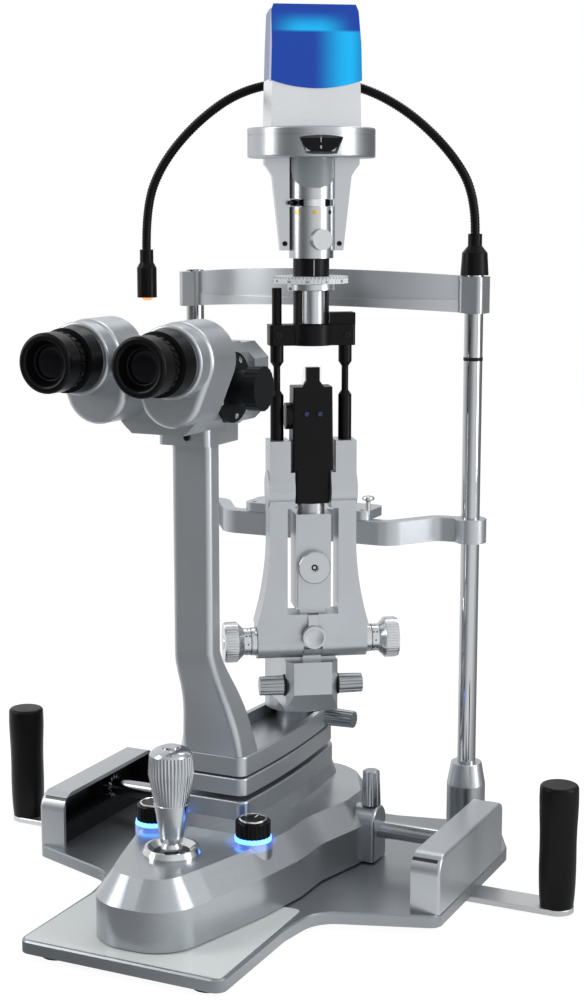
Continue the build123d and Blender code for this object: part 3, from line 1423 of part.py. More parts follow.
# Inner block: carries the centring knob and the mirror holder between the legs of the fork
with BuildPart() as inner_block:
    with BuildSketch(tower_face(-inner_depth / 2)):
        with Locations((0, (inner_bottom_z + inner_top_z) / 2)):
            Rectangle(2 * inner_half, inner_top_z - inner_bottom_z)
    extrude(amount=-inner_depth)
    with BuildSketch(tower_face(-inner_depth / 2)):
        with Locations((0, (inner_bottom_z + disc_knob_z) / 2 + 1.0)):
            Rectangle(2 * inner_half - 3.0, disc_knob_z - inner_bottom_z - 2.0)
        with Locations((0, disc_knob_z)):
            Circle(inner_half - 1.5)
    extrude(amount=2.0)
    with BuildSketch(tower_level(fork_window_z)):
        Rectangle(2 * inner_half - 8.0, inner_depth - 12.0)
    extrude(amount=inner_bottom_z - fork_window_z)
    with BuildSketch(tower_level(inner_top_z)):
        Circle(mirror_post_radius)
    extrude(amount=mirror_post_height)
    with BuildSketch(tower_level(inner_top_z)):
        Circle(mirror_pin_radius)
    extrude(amount=mirror_post_height + 12.0)
    with BuildSketch(tower_face(-inner_depth)):
        with Locations((0, disc_knob_z)):
            Circle(dimmer_pin_radius + shaft_clearance)
    extrude(amount=-inner_depth, mode=Mode.SUBTRACT)
write_piece(inner_block, "inner_block")

# Centring knob: slotted disc on the inner block
with BuildPart() as centring_knob:
    with BuildSketch(tower_face(-inner_depth / 2 - 2.3)):
        with Locations((0, disc_knob_z)):
            Circle(disc_knob_radius)
    extrude(amount=5.0)
    chamfer(centring_knob.edges().filter_by(GeomType.CIRCLE), length=0.7)
    with BuildSketch(tower_face(-inner_depth / 2 - 5.3)):
        with Locations((0, disc_knob_z)):
            Circle(3.4)
    extrude(amount=5.0, mode=Mode.SUBTRACT)
    with BuildSketch(tower_face(-inner_depth / 2 + 10.0)):
        with Locations((0, disc_knob_z)):
            Circle(dimmer_pin_radius)
    extrude(amount=14.0)
write_piece(centring_knob, "centring_knob")

# Tilt latch: sprung lever with a hollow button, pivoted in the slot of the fork
with BuildPart() as tilt_latch:
    with BuildSketch(tower_side(-latch_slot / 2 + 0.3)):
        with BuildLine():
            Polyline((fork_front - 4.0, latch_button_z - 4.0), (fork_front - 1.8, latch_button_z - 4.0),
                     (fork_front + 3.4, latch_pivot_z - 4.0), (fork_front + 3.4, latch_pivot_z + 1.5),
                     (fork_front - 1.0, latch_pivot_z + 1.5), (fork_front - 4.0, latch_button_z + 5.0), close=True)
        make_face()
    extrude(amount=latch_slot - 0.6)
    with BuildSketch(tower_face(fork_front - 2.3)):
        with Locations((0, latch_button_z)):
            Circle(latch_button_radius)
    extrude(amount=6.5)
    with Locations(tower_point(0, fork_front - 9.0 - 20.0, latch_button_z)):
        Sphere(21.6, mode=Mode.SUBTRACT)
    with BuildSketch(tower_side(-latch_slot / 2 - 3.0)):
        with Locations((fork_front + 2.2, latch_pivot_z)):
            Circle(gimbal_pin_radius)
    extrude(amount=latch_slot + 6.0)
write_piece(tilt_latch, "tilt_latch")

# Mirror holder: black housing that swivels on the post of the inner block
holder_low_z = inner_top_z + mirror_post_height + slide_gap
with BuildPart() as mirror_holder:
    with BuildSketch(tower_level(holder_low_z)):
        RectangleRounded(2 * mirror_base_half, mirror_depth - 2.0, 2.0)
    extrude(amount=mirror_body_z - holder_low_z)
    with BuildSketch(tower_level(mirror_body_z)):
        RectangleRounded(2 * mirror_body_half, mirror_depth, 2.0)
    extrude(amount=mirror_body_top_z - mirror_body_z, taper=0.7)
    with BuildSketch(tower_face(-mirror_depth / 2 + 0.8)):
        with BuildLine():
            Polyline((-mirror_finger_half - 4.0, mirror_body_top_z - 0.5),
                     (-mirror_finger_half, mirror_body_top_z + 5.0), (-mirror_finger_half, mirror_finger_top_z),
                     (mirror_finger_half, mirror_finger_top_z), (mirror_finger_half, mirror_body_top_z + 5.0),
                     (mirror_finger_half + 4.0, mirror_body_top_z - 0.5), close=True)
        make_face()
    extrude(amount=-3.0)
    with BuildSketch(tower_side(-mirror_body_half + 1.0)):
        with Locations((0, mirror_knob_z)):
            Circle(mirror_knob_radius)
    extrude(amount=-5.5)
    with BuildSketch(tower_level(holder_low_z)):
        Circle(mirror_pin_radius + shaft_clearance)
    extrude(amount=13.0, mode=Mode.SUBTRACT)
write_piece(mirror_holder, "mirror_holder")

# Mirror: slanted glass block on the holder that turns the light towards the eye
mirror_front = -mirror_depth / 2 + 3.8
with BuildPart() as mirror_block:
    with BuildSketch(tower_side(-mirror_finger_half - 2.0)):
        with BuildLine():
            Polyline((mirror_front, mirror_body_top_z), (mirror_front + 17.0, mirror_body_top_z),
                     (mirror_front, mirror_body_top_z + 17.0), close=True)
        make_face()
    extrude(amount=2 * mirror_finger_half + 4.0)
write_piece(mirror_block, "slit_mirror")

# Tower rods: turned black rods from the fork to the yoke, the left one longer
rod_low_z = fork_top_z - 12.0
rod_top_z = yoke_z + yoke_height - 5.0
with BuildPart() as tower_rods:
    for side, tip_z in ((-1, head_flange_z + 2.0), (1, yoke_z + yoke_height)):
        with BuildSketch(tower_face(0)):
            with BuildLine():
                Polyline((side * rod_x, rod_low_z), (side * rod_x + rod_radius, rod_low_z),
                         (side * rod_x + rod_radius, rod_neck_low_z - 4.0),
                         (side * rod_x + rod_neck_radius, rod_neck_low_z),
                         (side * rod_x + rod_neck_radius, rod_neck_high_z),
                         (side * rod_x + rod_radius, rod_neck_high_z + 4.0),
                         (side * rod_x + rod_radius, rod_top_z), (side * rod_x + rod_tip_radius, rod_top_z),
                         (side * rod_x + rod_tip_radius, tip_z), (side * rod_x, tip_z), close=True)
            make_face()
        revolve(axis=Axis(tower_point(side * rod_x, 0, 0), (0, 0, 1)))
write_piece(tower_rods, "tower_rods")

# Yoke: black cross piece on the rods with the optic tube standing in it
with BuildPart() as optic_yoke:
    with BuildSketch(tower_level(yoke_z)):
        RectangleRounded(2 * yoke_half, yoke_depth, 3.0)
        Circle(optic_tube_radius + 3.4)
    extrude(amount=yoke_height)
    with BuildSketch(tower_level(yoke_z + yoke_height)):
        with Locations(((15.0 + yoke_half) / 2, 0)):
            Rectangle(yoke_half - 15.0, yoke_depth - 4.0)
        Circle(optic_tube_radius)
    extrude(amount=9.6)
    with BuildSketch(tower_level(yoke_z + yoke_height)):
        Circle(optic_tube_radius)
    extrude(amount=optic_tube_top_z - yoke_z - yoke_height)
    with BuildSketch(tower_level(yoke_z)):
        Circle(light_bore_radius)
        with Locations((-rod_x, 0), (rod_x, 0)):
            Circle(rod_radius)
    extrude(amount=yoke_height - 5.0, mode=Mode.SUBTRACT)
    with BuildSketch(tower_level(yoke_z)):
        Circle(light_bore_radius)
        with Locations((-rod_x, 0), (rod_x, 0)):
            Circle(rod_tip_radius)
    extrude(amount=optic_tube_top_z - yoke_z, mode=Mode.SUBTRACT)
    with BuildSketch(tower_level(lens_tube_z)):
        with Locations((0, -lens_tube_offset)):
            Circle(lens_tube_radius)
    extrude(amount=optic_tube_top_z - lens_tube_z, mode=Mode.SUBTRACT)
write_piece(optic_yoke, "optic_yoke")

# Head flange: bright flange with the lens tube below and the spigot the slit head turns on
with BuildPart() as head_flange:
    with BuildSketch(tower_level(head_flange_z)):
        Circle(head_flange_radius)
    extrude(amount=head_flange_height)
    chamfer(head_flange.edges().filter_by(GeomType.CIRCLE), length=0.5)
    with BuildSketch(tower_level(head_flange_z + head_flange_height)):
        Circle(head_spigot_radius)
    extrude(amount=12.0)
    with BuildSketch(tower_level(lens_tube_z)):
        with Locations((0, -lens_tube_offset)):
            Circle(lens_tube_radius)
    extrude(amount=head_flange_z - lens_tube_z)
    with BuildSketch(tower_level(lens_tube_z)):
        Circle(light_bore_radius)
    extrude(amount=60.0, mode=Mode.SUBTRACT)
write_piece(head_flange, "head_flange")

# Scale ring: toothed disc with the slit angle scale, fixed under the slit head
with BuildPart() as scale_ring:
    with BuildSketch(tower_level(scale_z)):
        fluted_knob(scale_radius, 60, 0.7)
        Circle(head_spigot_radius + shaft_clearance, mode=Mode.SUBTRACT)
    extrude(amount=scale_height)
write_piece(scale_ring, "scale_ring")

# Index tube: black neck between the scale ring and the slit cylinder
with BuildPart() as index_tube:
    with BuildSketch(tower_level(index_z)):
        Circle(index_radius)
        Circle(head_spigot_radius + shaft_clearance, mode=Mode.SUBTRACT)
    extrude(amount=index_height)
write_piece(index_tube, "index_tube")

# Slit cylinder: bright barrel with the slot of the filter ring and the seat of the aperture knob
aperture_angle = math.radians(aperture_knob_turn)
aperture_out = tower_right * math.sin(aperture_angle) - tower_back * math.cos(aperture_angle)


def aperture_plane(reach):
    origin = tower_point(0, 0, aperture_knob_z) + aperture_out * reach
    return Plane(origin=origin, x_dir=(0, 0, 1), z_dir=aperture_out)


with BuildPart() as slit_cylinder:
    with BuildSketch(tower_level(cylinder_z)):
        Circle(cylinder_radius)
        Circle(cylinder_bore, mode=Mode.SUBTRACT)
    extrude(amount=cylinder_top_z - cylinder_z)
    with BuildSketch(tower_level(filter_slot_z)):
        Circle(cylinder_radius + 1.0)
        Circle(cylinder_radius - filter_slot_depth, mode=Mode.SUBTRACT)
    extrude(amount=filter_slot_height, mode=Mode.SUBTRACT)
    with BuildSketch(aperture_plane(0)):
        Circle(aperture_pin_radius + shaft_clearance)
    extrude(amount=2 * cylinder_radius, mode=Mode.SUBTRACT)
# Filter ring: turns in the slot of the cylinder by its small lever
lever_angle = math.radians(filter_lever_turn)
lever_out = tower_right * math.sin(lever_angle) - tower_back * math.cos(lever_angle)
with BuildPart() as filter_ring:
    with BuildSketch(tower_level(filter_slot_z + slide_gap)):
        Circle(cylinder_radius - 0.6)
        Circle(cylinder_radius - filter_slot_depth + shaft_clearance, mode=Mode.SUBTRACT)
    extrude(amount=filter_slot_height - 2 * slide_gap)
    lever_mid_z = filter_slot_z + filter_slot_height / 2
    with BuildSketch(Plane(origin=tower_point(0, 0, lever_mid_z) + lever_out * (cylinder_radius - 2.0),
                           x_dir=(0, 0, 1), z_dir=lever_out)):
        SlotCenterToCenter(0.1, 2 * filter_lever_radius, rotation=90)
    extrude(amount=filter_lever_reach - cylinder_radius + 2.0)
write_piece(filter_ring, "filter_ring")

# Aperture knob: small round knob on the front of the cylinder
with BuildPart() as aperture_knob:
    with BuildSketch(aperture_plane(cylinder_radius + slide_gap)):
        fluted_knob(aperture_knob_radius, 30, 0.4)
    extrude(amount=aperture_knob_length)
    with BuildSketch(aperture_plane(cylinder_bore + 0.5)):
        Circle(aperture_pin_radius)
    extrude(amount=cylinder_radius - cylinder_bore + 1.0)
write_piece(aperture_knob, "aperture_knob")

# Head disc: round housing under the lamp with a seam and a scale window at the front
with BuildPart() as head_disc:
    with BuildSketch(tower_level(disc_z)):
        Circle(disc_radius)
    extrude(amount=disc_height)
    fillet(head_disc.edges().filter_by(GeomType.CIRCLE), radius=1.6)
    with BuildSketch(tower_level(disc_seam_z)):
        Circle(disc_radius + 1.0)
        Circle(disc_radius - 0.7, mode=Mode.SUBTRACT)
    extrude(amount=0.7, mode=Mode.SUBTRACT)
    with BuildSketch(tower_face(-disc_radius - 1.0)):
        with BuildLine():
            Polyline((-window_half, disc_seam_z), (window_half, disc_seam_z),
                     (window_foot_half, disc_seam_z - window_drop), (-window_foot_half, disc_seam_z - window_drop),
                     close=True)
        make_face()
    extrude(amount=-6.0, taper=28, mode=Mode.SUBTRACT)
    with BuildSketch(tower_level(disc_z)):
        Circle(cylinder_bore)
    extrude(amount=disc_height, mode=Mode.SUBTRACT)
write_piece(head_disc, "head_disc")

# Two ribs from the disc down both sides of the cylinder, cast with it
with BuildPart() as slit_barrel:
    add(slit_cylinder.part)
    for side in (-1, 1):
        with BuildSketch(tower_face(-bracket_thick / 2)):
            with BuildLine():
                Polyline((side * (cylinder_radius + 0.5), bracket_low_z), (side * bracket_low_half, bracket_low_z),
                         (side * bracket_knee_half, bracket_knee_z),
                         (side * (bracket_knee_half + 3.0), bracket_knee_z + 5.0),
                         (side * bracket_top_half, disc_z - 5.0), (side * bracket_top_half, disc_z),
                         (side * (cylinder_radius + 0.5), disc_z), close=True)
            make_face()
        extrude(amount=-bracket_thick)
        with BuildSketch(tower_face(-bracket_thick / 2)):
            with Locations((side * (cylinder_radius + 4.2), bracket_low_z + 5.5)):
                Circle(2.2)
        extrude(amount=-2.0, mode=Mode.SUBTRACT)
write_piece(slit_barrel, "slit_cylinder")


def house_side(grow):
    Polyline((-house_half_depth - grow, house_z), (0.5 - house_half_depth - grow, house_fold_z + grow / 2),
             (-house_half_depth + 10.0 - grow / 2, house_top_z - cap_shell + grow),
             (house_half_depth - 4.0, house_top_z - cap_shell + grow), (house_half_depth, house_fold_z),
             (house_half_depth, house_z), close=True)


def house_front(grow):
    top = house_top_z - cap_shell
    Polyline((-house_half - grow, house_z), (-house_half + house_draft - grow, top - 4.0),
             (-house_half + house_draft + 2.0 - grow, top + grow), (house_half - house_draft - 2.0 + grow, top + grow),
             (house_half - house_draft + grow, top - 4.0), (house_half + grow, house_z), close=True)


# Lamp house: light metal housing on the disc, hollow for the lamp
with BuildPart() as lamp_house:
    with BuildSketch(tower_side(-house_half)) as house_profile:
        with BuildLine():
            house_side(0.0)
        make_face()
    extrude(amount=2 * house_half)
    fillet(lamp_house.edges().filter_by(Axis(tower_point(0, 0, 0), tower_right)).sort_by(Axis.Z)[2:], radius=2.5)
    with BuildSketch(tower_face(-house_half_depth - 2.0)):
        with BuildLine():
            house_front(0.0)
        make_face()
    extrude(amount=-2 * house_half_depth - 4.0, mode=Mode.INTERSECT)
    with BuildSketch(tower_level(house_z)):
        Rectangle(2 * house_half - 4 * house_wall, 2 * house_half_depth - 4 * house_wall)
    extrude(amount=house_top_z - house_z - 4 * house_wall, mode=Mode.SUBTRACT)
write_piece(lamp_house, "lamp_house")

# Lamp cap: blue shell over the front, the slope and the upper corners of the house
with BuildPart() as lamp_cap:
    with BuildSketch(tower_side(-house_half - 4.0)):
        with BuildLine():
            house_side(cap_shell)
        make_face()
    extrude(amount=2 * house_half + 8.0)
    with BuildSketch(tower_face(-house_half_depth - 4.0)):
        with BuildLine():
            house_front(cap_shell)
        make_face()
    extrude(amount=-2 * house_half_depth - 8.0, mode=Mode.INTERSECT)
    with BuildSketch(tower_face(-house_half_depth - 4.0)):
        with BuildLine():
            ThreePointArc((-house_half - 5.0, cap_edge_z + cap_edge_drop + 1.0), (0, cap_edge_z),
                          (house_half + 5.0, cap_edge_z + cap_edge_drop + 1.0))
            Polyline((house_half + 5.0, cap_edge_z + cap_edge_drop + 1.0), (house_half + 5.0, house_top_z + 5.0),
                     (-house_half - 5.0, house_top_z + 5.0),
                     (-house_half - 5.0, cap_edge_z + cap_edge_drop + 1.0))
        make_face()
    extrude(amount=-house_half_depth - 4.0 + cap_wrap, mode=Mode.INTERSECT)
    add(lamp_house.part, mode=Mode.SUBTRACT)
    with BuildSketch(tower_level(house_z)):
        Rectangle(2 * house_half - 4 * house_wall, 2 * house_half_depth - 4 * house_wall)
    extrude(amount=house_top_z - house_z - 4 * house_wall, mode=Mode.SUBTRACT)
write_piece(lamp_cap, "lamp_cap")
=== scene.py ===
import math

import bmesh
import bpy
from mathutils import Matrix, Vector


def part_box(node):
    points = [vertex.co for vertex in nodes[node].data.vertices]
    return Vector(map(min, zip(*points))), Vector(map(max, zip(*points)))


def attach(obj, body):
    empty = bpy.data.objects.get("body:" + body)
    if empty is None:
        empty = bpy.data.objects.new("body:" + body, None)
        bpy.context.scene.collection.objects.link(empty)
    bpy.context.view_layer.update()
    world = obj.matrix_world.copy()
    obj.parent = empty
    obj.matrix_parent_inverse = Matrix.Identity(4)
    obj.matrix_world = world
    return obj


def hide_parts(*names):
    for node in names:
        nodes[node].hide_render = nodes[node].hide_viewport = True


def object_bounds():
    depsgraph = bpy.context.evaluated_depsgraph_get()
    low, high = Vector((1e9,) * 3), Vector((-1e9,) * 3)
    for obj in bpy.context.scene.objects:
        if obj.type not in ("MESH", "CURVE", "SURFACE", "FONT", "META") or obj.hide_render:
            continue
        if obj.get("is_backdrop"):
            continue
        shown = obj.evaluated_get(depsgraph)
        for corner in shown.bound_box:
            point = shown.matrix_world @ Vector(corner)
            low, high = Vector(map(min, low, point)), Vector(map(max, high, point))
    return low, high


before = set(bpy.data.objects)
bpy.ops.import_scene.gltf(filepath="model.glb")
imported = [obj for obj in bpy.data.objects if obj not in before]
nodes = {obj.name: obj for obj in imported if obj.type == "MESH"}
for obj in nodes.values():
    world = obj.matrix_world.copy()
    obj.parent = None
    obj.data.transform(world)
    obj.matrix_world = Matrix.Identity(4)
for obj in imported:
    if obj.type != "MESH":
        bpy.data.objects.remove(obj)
scene = bpy.context.scene
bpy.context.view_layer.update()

# Base plate: a thick cast aluminium plate, milled on top and lacquered in dark silver.
# It stands on rubber feet, and everything else is screwed to it.


class Wire:
    """A value on its way through a material; Python's operators add the Math nodes."""

    def __init__(self, finish, socket):
        self.finish = finish
        self.socket = socket

    def math(self, operation, *values):
        return self.finish.node("ShaderNodeMath", {"operation": operation}, *values)

    def __add__(self, other):
        return self.math("ADD", self, other)

    __radd__ = __add__

    def __sub__(self, other):
        return self.math("SUBTRACT", self, other)

    def __rsub__(self, other):
        return self.math("SUBTRACT", other, self)

    def __mul__(self, other):
        return self.math("MULTIPLY", self, other)

    __rmul__ = __mul__

    def __truediv__(self, other):
        return self.math("DIVIDE", self, other)

    def above(self, edge):
        return self.math("GREATER_THAN", self, edge)

    def below(self, edge):
        return self.math("LESS_THAN", self, edge)

    def size(self):
        return self.math("ABSOLUTE", self)


class Shading:
    """A node tree, with one method that adds any node."""

    def __init__(self, tree):
        self.tree = tree

    def node(self, kind, settings=None, *values, output=0, **named):
        made = self.tree.nodes.new(kind)
        for key, value in (settings or {}).items():
            setattr(made, key, value)
        pairs = list(enumerate(values)) + [(key.replace("_", " "), value) for key, value in named.items()]
        for key, value in pairs:
            if isinstance(value, Wire):
                self.tree.links.new(value.socket, made.inputs[key])
            else:
                made.inputs[key].default_value = value
        return Wire(self, made.outputs[output])

    def parts(self, vector):
        split = self.node("ShaderNodeSeparateXYZ", None, vector)
        return [Wire(self, socket) for socket in split.socket.node.outputs]


class Finish(Shading):
    """A material with one Principled shader."""

    def __init__(self, name, colour, roughness, metallic=0.0, **settings):
        self.material = bpy.data.materials.new(name)
        self.material.use_nodes = True
        super().__init__(self.material.node_tree)
        self.shader = self.tree.nodes["Principled BSDF"]
        self.shader.inputs["Base Color"].default_value = (*colour, 1.0)
        self.shader.inputs["Roughness"].default_value = roughness
        self.shader.inputs["Metallic"].default_value = metallic
        for socket_name, value in settings.items():
            self.shader.inputs[socket_name.replace("_", " ")].default_value = value

    def place(self, origin=(0.0, 0.0, 0.0), turn=0.0):
        """Object coordinates in metres, moved so that origin is at zero and turned back about Z."""
        coordinates = self.node("ShaderNodeTexCoord", output=3)
        moved = self.node("ShaderNodeVectorMath", {"operation": "SUBTRACT"}, coordinates, origin)
        if turn:
            moved = self.node("ShaderNodeVectorRotate", {"rotation_type": "Z_AXIS"}, moved, Angle=-turn)
        return moved

    def noise(self, vector, scale, detail=3.0):
        return self.node("ShaderNodeTexNoise", None, Vector=vector, Scale=scale, Detail=detail, Roughness=0.6)

    def spread(self, value, low, high):
        """A noise value brought to the range low to high."""
        return self.node("ShaderNodeMapRange", None, value, 0.3, 0.7, low, high)

    def fade(self, value, first, last):
        """Goes softly from 0 at first to 1 at last."""
        start, end, low, high = (first, last, 0.0, 1.0) if first < last else (last, first, 1.0, 0.0)
        return self.node("ShaderNodeMapRange", {"interpolation_type": "SMOOTHSTEP"}, value, start, end, low, high)

    def mix(self, share, first, second):
        """Goes from the first colour to the second as share goes from 0 to 1."""
        made = self.tree.nodes.new("ShaderNodeMix")
        made.data_type = "RGBA"
        for socket, value in ((made.inputs[0], share), (made.inputs[6], first), (made.inputs[7], second)):
            if isinstance(value, Wire):
                self.tree.links.new(value.socket, socket)
            else:
                socket.default_value = (*value, 1.0) if isinstance(value, tuple) else value
        return Wire(self, made.outputs[2])

    def feed(self, socket_name, value):
        self.tree.links.new(value.socket, self.shader.inputs[socket_name])

    def bump(self, height, distance, strength=1.0):
        self.feed("Normal", self.node("ShaderNodeBump", None, Height=height, Distance=distance, Strength=strength))

    def paint(self, *names):
        for name in names:
            nodes[name].data.materials.clear()
            nodes[name].data.materials.append(self.material)


def cast_silver(name, colour, roughness=0.33, metallic=0.8):
    """Silver lacquer on a casting: fine metal flake, a slightly uneven coat and a clear top layer."""
    finish = Finish(name, colour, roughness, metallic, Coat_Weight=0.25, Coat_Roughness=0.16)
    at = finish.place()
    flake = finish.noise(at, 5000.0, 1.0)
    tone = finish.spread(finish.noise(at, 14.0), 0.0, 1.0)
    pale = tuple(channel * 1.03 for channel in colour)
    deep = tuple(channel * 0.96 for channel in colour)
    finish.tone = finish.mix(tone, deep, pale)
    finish.feed("Base Color", finish.tone)
    finish.feed("Roughness", finish.spread(flake, roughness - 0.03, roughness + 0.04))
    finish.bump(flake, 0.00001, 0.2)
    return finish


plate_silver = cast_silver("plate_silver", (0.29, 0.31, 0.33), 0.32)
plate_silver.paint("base_plate")


def moulded(name, colour, roughness, grain=900.0, depth=0.00005, shine=0.14, **settings):
    """Moulded plastic or rubber with a fine spark-eroded grain."""
    finish = Finish(name, colour, roughness, Specular_IOR_Level=shine, **settings)
    at = finish.place()
    finish.feed("Roughness", finish.spread(finish.noise(at, 30.0), roughness - 0.04, roughness + 0.05))
    finish.bump(finish.noise(at, grain, 2.0), depth, 0.35)
    return finish


# Feet: six turned pads of black rubber, screwed under the plate.
foot_rubber = moulded("foot_rubber", (0.02, 0.02, 0.021), 0.75)
foot_rubber.paint("rubber_feet")

# Slide pad: a sheet of white acetal let into the wing, on which the nose of the base glides.
pad_white = moulded("pad_white", (0.80, 0.83, 0.81), 0.34, 400.0, 0.00003, 0.5)
pad_white.paint("slide_pad")

# Rail covers: die-cast housings over the racks, lacquered silver outside and left black inside,
# where the guide shoes run. The racks are blackened steel bars screwed to the plate.
cast_grey = cast_silver("cast_grey", (0.46, 0.485, 0.51))
cover_silver = cast_silver("cover_silver", (0.46, 0.485, 0.51))
x, y, z = cover_silver.parts(cover_silver.place())
within = x.size().below(0.1822) * y.above(-0.0032) * y.below(0.1427) * z.below(0.0592)
cover_silver.feed("Base Color", cover_silver.mix(within, cover_silver.tone, (0.012, 0.012, 0.013)))
cover_silver.feed("Metallic", 0.8 - within * 0.8)
cover_silver.paint("rail_covers")
shoe_black = moulded("shoe_black", (0.015, 0.015, 0.016), 0.5)
shoe_black.paint("guide_shoes", "rail_racks")


def turned(name, colour, roughness, axis="Z", turn=0.0, metallic=1.0, pitch=9000.0):
    """Lathe-turned metal: fine rings at right angles to its axis."""
    finish = Finish(name, colour, roughness, metallic)
    along = finish.parts(finish.place(turn=turn))["XYZ".index(axis)]
    rings = finish.node("ShaderNodeCombineXYZ", None, along * pitch, 0.0, 0.0)
    groove = finish.noise(rings, 1.0, 2.0)
    finish.feed("Roughness", finish.spread(groove, roughness - 0.05, roughness + 0.07))
    finish.bump(groove, 0.00002, 0.3)
    return finish


# Cross axle and grip bars: the axle is ground and hard-chromed, and the bars are flat steel.
axle_chrome = turned("axle_chrome", (0.42, 0.43, 0.45), 0.12, "X")
axle_chrome.paint("cross_axle")
bar_steel = turned("bar_steel", (0.60, 0.61, 0.62), 0.33, "X", pitch=1500.0)
bar_steel.paint("grip_bars")

# Hand grips: black thermoplastic mouldings with a fine grain, pushed over studs in the bars.
grip_black = moulded("grip_black", (0.0035, 0.0035, 0.004), 0.33)
grip_black.paint("hand_grips")

# Post sockets: turned aluminium, bolted from below, with two black set screws in each side.
# The screws are copies of one socket screw, each set on a point with its own direction.
socket_metal = turned("socket_metal", (0.52, 0.54, 0.565), 0.3)
socket_metal.paint("post_sockets", "spindle")


def lathe(profile, sides=24, corner_of=None):
    """A closed mesh round Z from (radius, height) pairs; rings named in corner_of are hexagons."""
    shape = bmesh.new()
    rings = []
    for step, (radius, height) in enumerate(profile):
        ring = []
        for side in range(sides):
            angle = 2 * math.pi * side / sides
            reach = radius
            if corner_of and step in corner_of:
                reach = radius * 0.866 / math.cos((angle + math.pi / 6) % (math.pi / 3) - math.pi / 6)
            ring.append(shape.verts.new((reach * math.cos(angle), reach * math.sin(angle), height)))
        rings.append(ring)
    for low, high in zip(rings, rings[1:]):
        for side in range(sides):
            after = (side + 1) % sides
            shape.faces.new((low[side], low[after], high[after], high[side]))
    shape.faces.new(rings[0][::-1])
    shape.faces.new(rings[-1])
    bmesh.ops.recalc_face_normals(shape, faces=shape.faces)
    mesh = bpy.data.meshes.new("turned_shape")
    shape.to_mesh(mesh)
    shape.free()
    return mesh


def socket_screw(radius, height):
    """A cap screw head with a hexagon socket, standing on Z zero."""
    deep = height * 0.45
    return lathe([(radius, -height * 0.3), (radius, height * 0.88), (radius * 0.9, height),
                  (radius * 0.55, height), (radius * 0.52, deep)], 24, (3, 4))


def copies_tree():
    """Sets a copy of the pattern on every point, turned as the point's own value says."""
    tree = bpy.data.node_groups.new("copies_on_points", "GeometryNodeTree")
    for name, kind in (("Points", "Geometry"), ("Pattern", "Object"), ("Size", "Float"), ("Finish", "Material")):
        tree.interface.new_socket(name, in_out="INPUT", socket_type="NodeSocket" + kind)
    tree.interface.new_socket("Copies", in_out="OUTPUT", socket_type="NodeSocketGeometry")
    start, pattern, turn, euler, placing, real, coat, end = [tree.nodes.new(kind) for kind in (
        "NodeGroupInput", "GeometryNodeObjectInfo", "GeometryNodeInputNamedAttribute",
        "FunctionNodeEulerToRotation", "GeometryNodeInstanceOnPoints", "GeometryNodeRealizeInstances",
        "GeometryNodeSetMaterial", "NodeGroupOutput")]
    turn.data_type = "FLOAT_VECTOR"
    turn.inputs["Name"].default_value = "turn"
    for source, target in (
            (start.outputs["Points"], placing.inputs["Points"]),
            (start.outputs["Pattern"], pattern.inputs["Object"]),
            (pattern.outputs["Geometry"], placing.inputs["Instance"]),
            (turn.outputs["Attribute"], euler.inputs["Euler"]),
            (euler.outputs["Rotation"], placing.inputs["Rotation"]),
            (start.outputs["Size"], placing.inputs["Scale"]),
            (placing.outputs["Instances"], real.inputs[0]),
            (real.outputs[0], coat.inputs["Geometry"]),
            (start.outputs["Finish"], coat.inputs["Material"]),
            (coat.outputs[0], end.inputs["Copies"])):
        tree.links.new(source, target)
    return tree


copying = copies_tree()


def socket_of(tree, name):
    return next(item.identifier for item in tree.interface.items_tree if item.name == name)


def turning(facing, up):
    """The turn that brings Z to facing and Y as near to up as it goes."""
    ahead = Vector(facing).normalized()
    over = (Vector(up) - ahead * ahead.dot(Vector(up))).normalized()
    return Matrix((over.cross(ahead), over, ahead)).transposed()


def settle(piece, body, slot, *replaced):
    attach(piece, body)
    if replaced:
        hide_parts(*replaced)
    return piece


def finished_mesh(carrier):
    """The evaluated mesh of an object with modifiers, as a plain mesh."""
    graph = bpy.context.evaluated_depsgraph_get()
    mesh = bpy.data.meshes.new_from_object(carrier.evaluated_get(graph))
    carrier.modifiers.clear()
    return mesh


def copies(name, body, slot, finish, pattern, places, size=1.0):
    """One plain mesh of pattern copies; places are (point, facing, up)."""
    points = bpy.data.meshes.new(name + "_points")
    points.from_pydata([tuple(point) for point, facing, up in places], [], [])
    turns = points.attributes.new("turn", "FLOAT_VECTOR", "POINT")
    for spot, (point, facing, up) in zip(turns.data, places):
        spot.vector = turning(facing, up).to_euler()
    model = bpy.data.objects.new(name + "_pattern", pattern)
    carrier = bpy.data.objects.new(name, points)
    scene.collection.objects.link(model)
    scene.collection.objects.link(carrier)
    modifier = carrier.modifiers.new("copies", "NODES")
    modifier.node_group = copying
    modifier[socket_of(copying, "Pattern")] = model
    modifier[socket_of(copying, "Size")] = size
    modifier[socket_of(copying, "Finish")] = finish.material
    carrier.data = finished_mesh(carrier)
    bpy.data.objects.remove(model)
    return settle(carrier, body, slot)


X, Y, Z = Vector((1, 0, 0)), Vector((0, 1, 0)), Vector((0, 0, 1))
post_x, post_y = 0.1351, 0.1916
screw_black = moulded("screw_black", (0.014, 0.014, 0.015), 0.35)
set_screws = []
for side in (-1, 1):
    for height in (0.040, 0.052):
        set_screws.append((Vector((side * post_x - 0.0158, post_y, height)), -X, Z))
copies("socket_set_screws", "stand", "black_metal", screw_black, socket_screw(0.0019, 0.0014), set_screws)

# Posts: chromed steel tubes. A black ring on each marks the height of the patient's eye.
bright_chrome = Finish("bright_chrome", (0.50, 0.515, 0.53), 0.06, 1.0)
bright_chrome.feed("Roughness", bright_chrome.spread(bright_chrome.noise(bright_chrome.place(), 60.0), 0.05, 0.11))
bright_chrome.paint("support_posts")


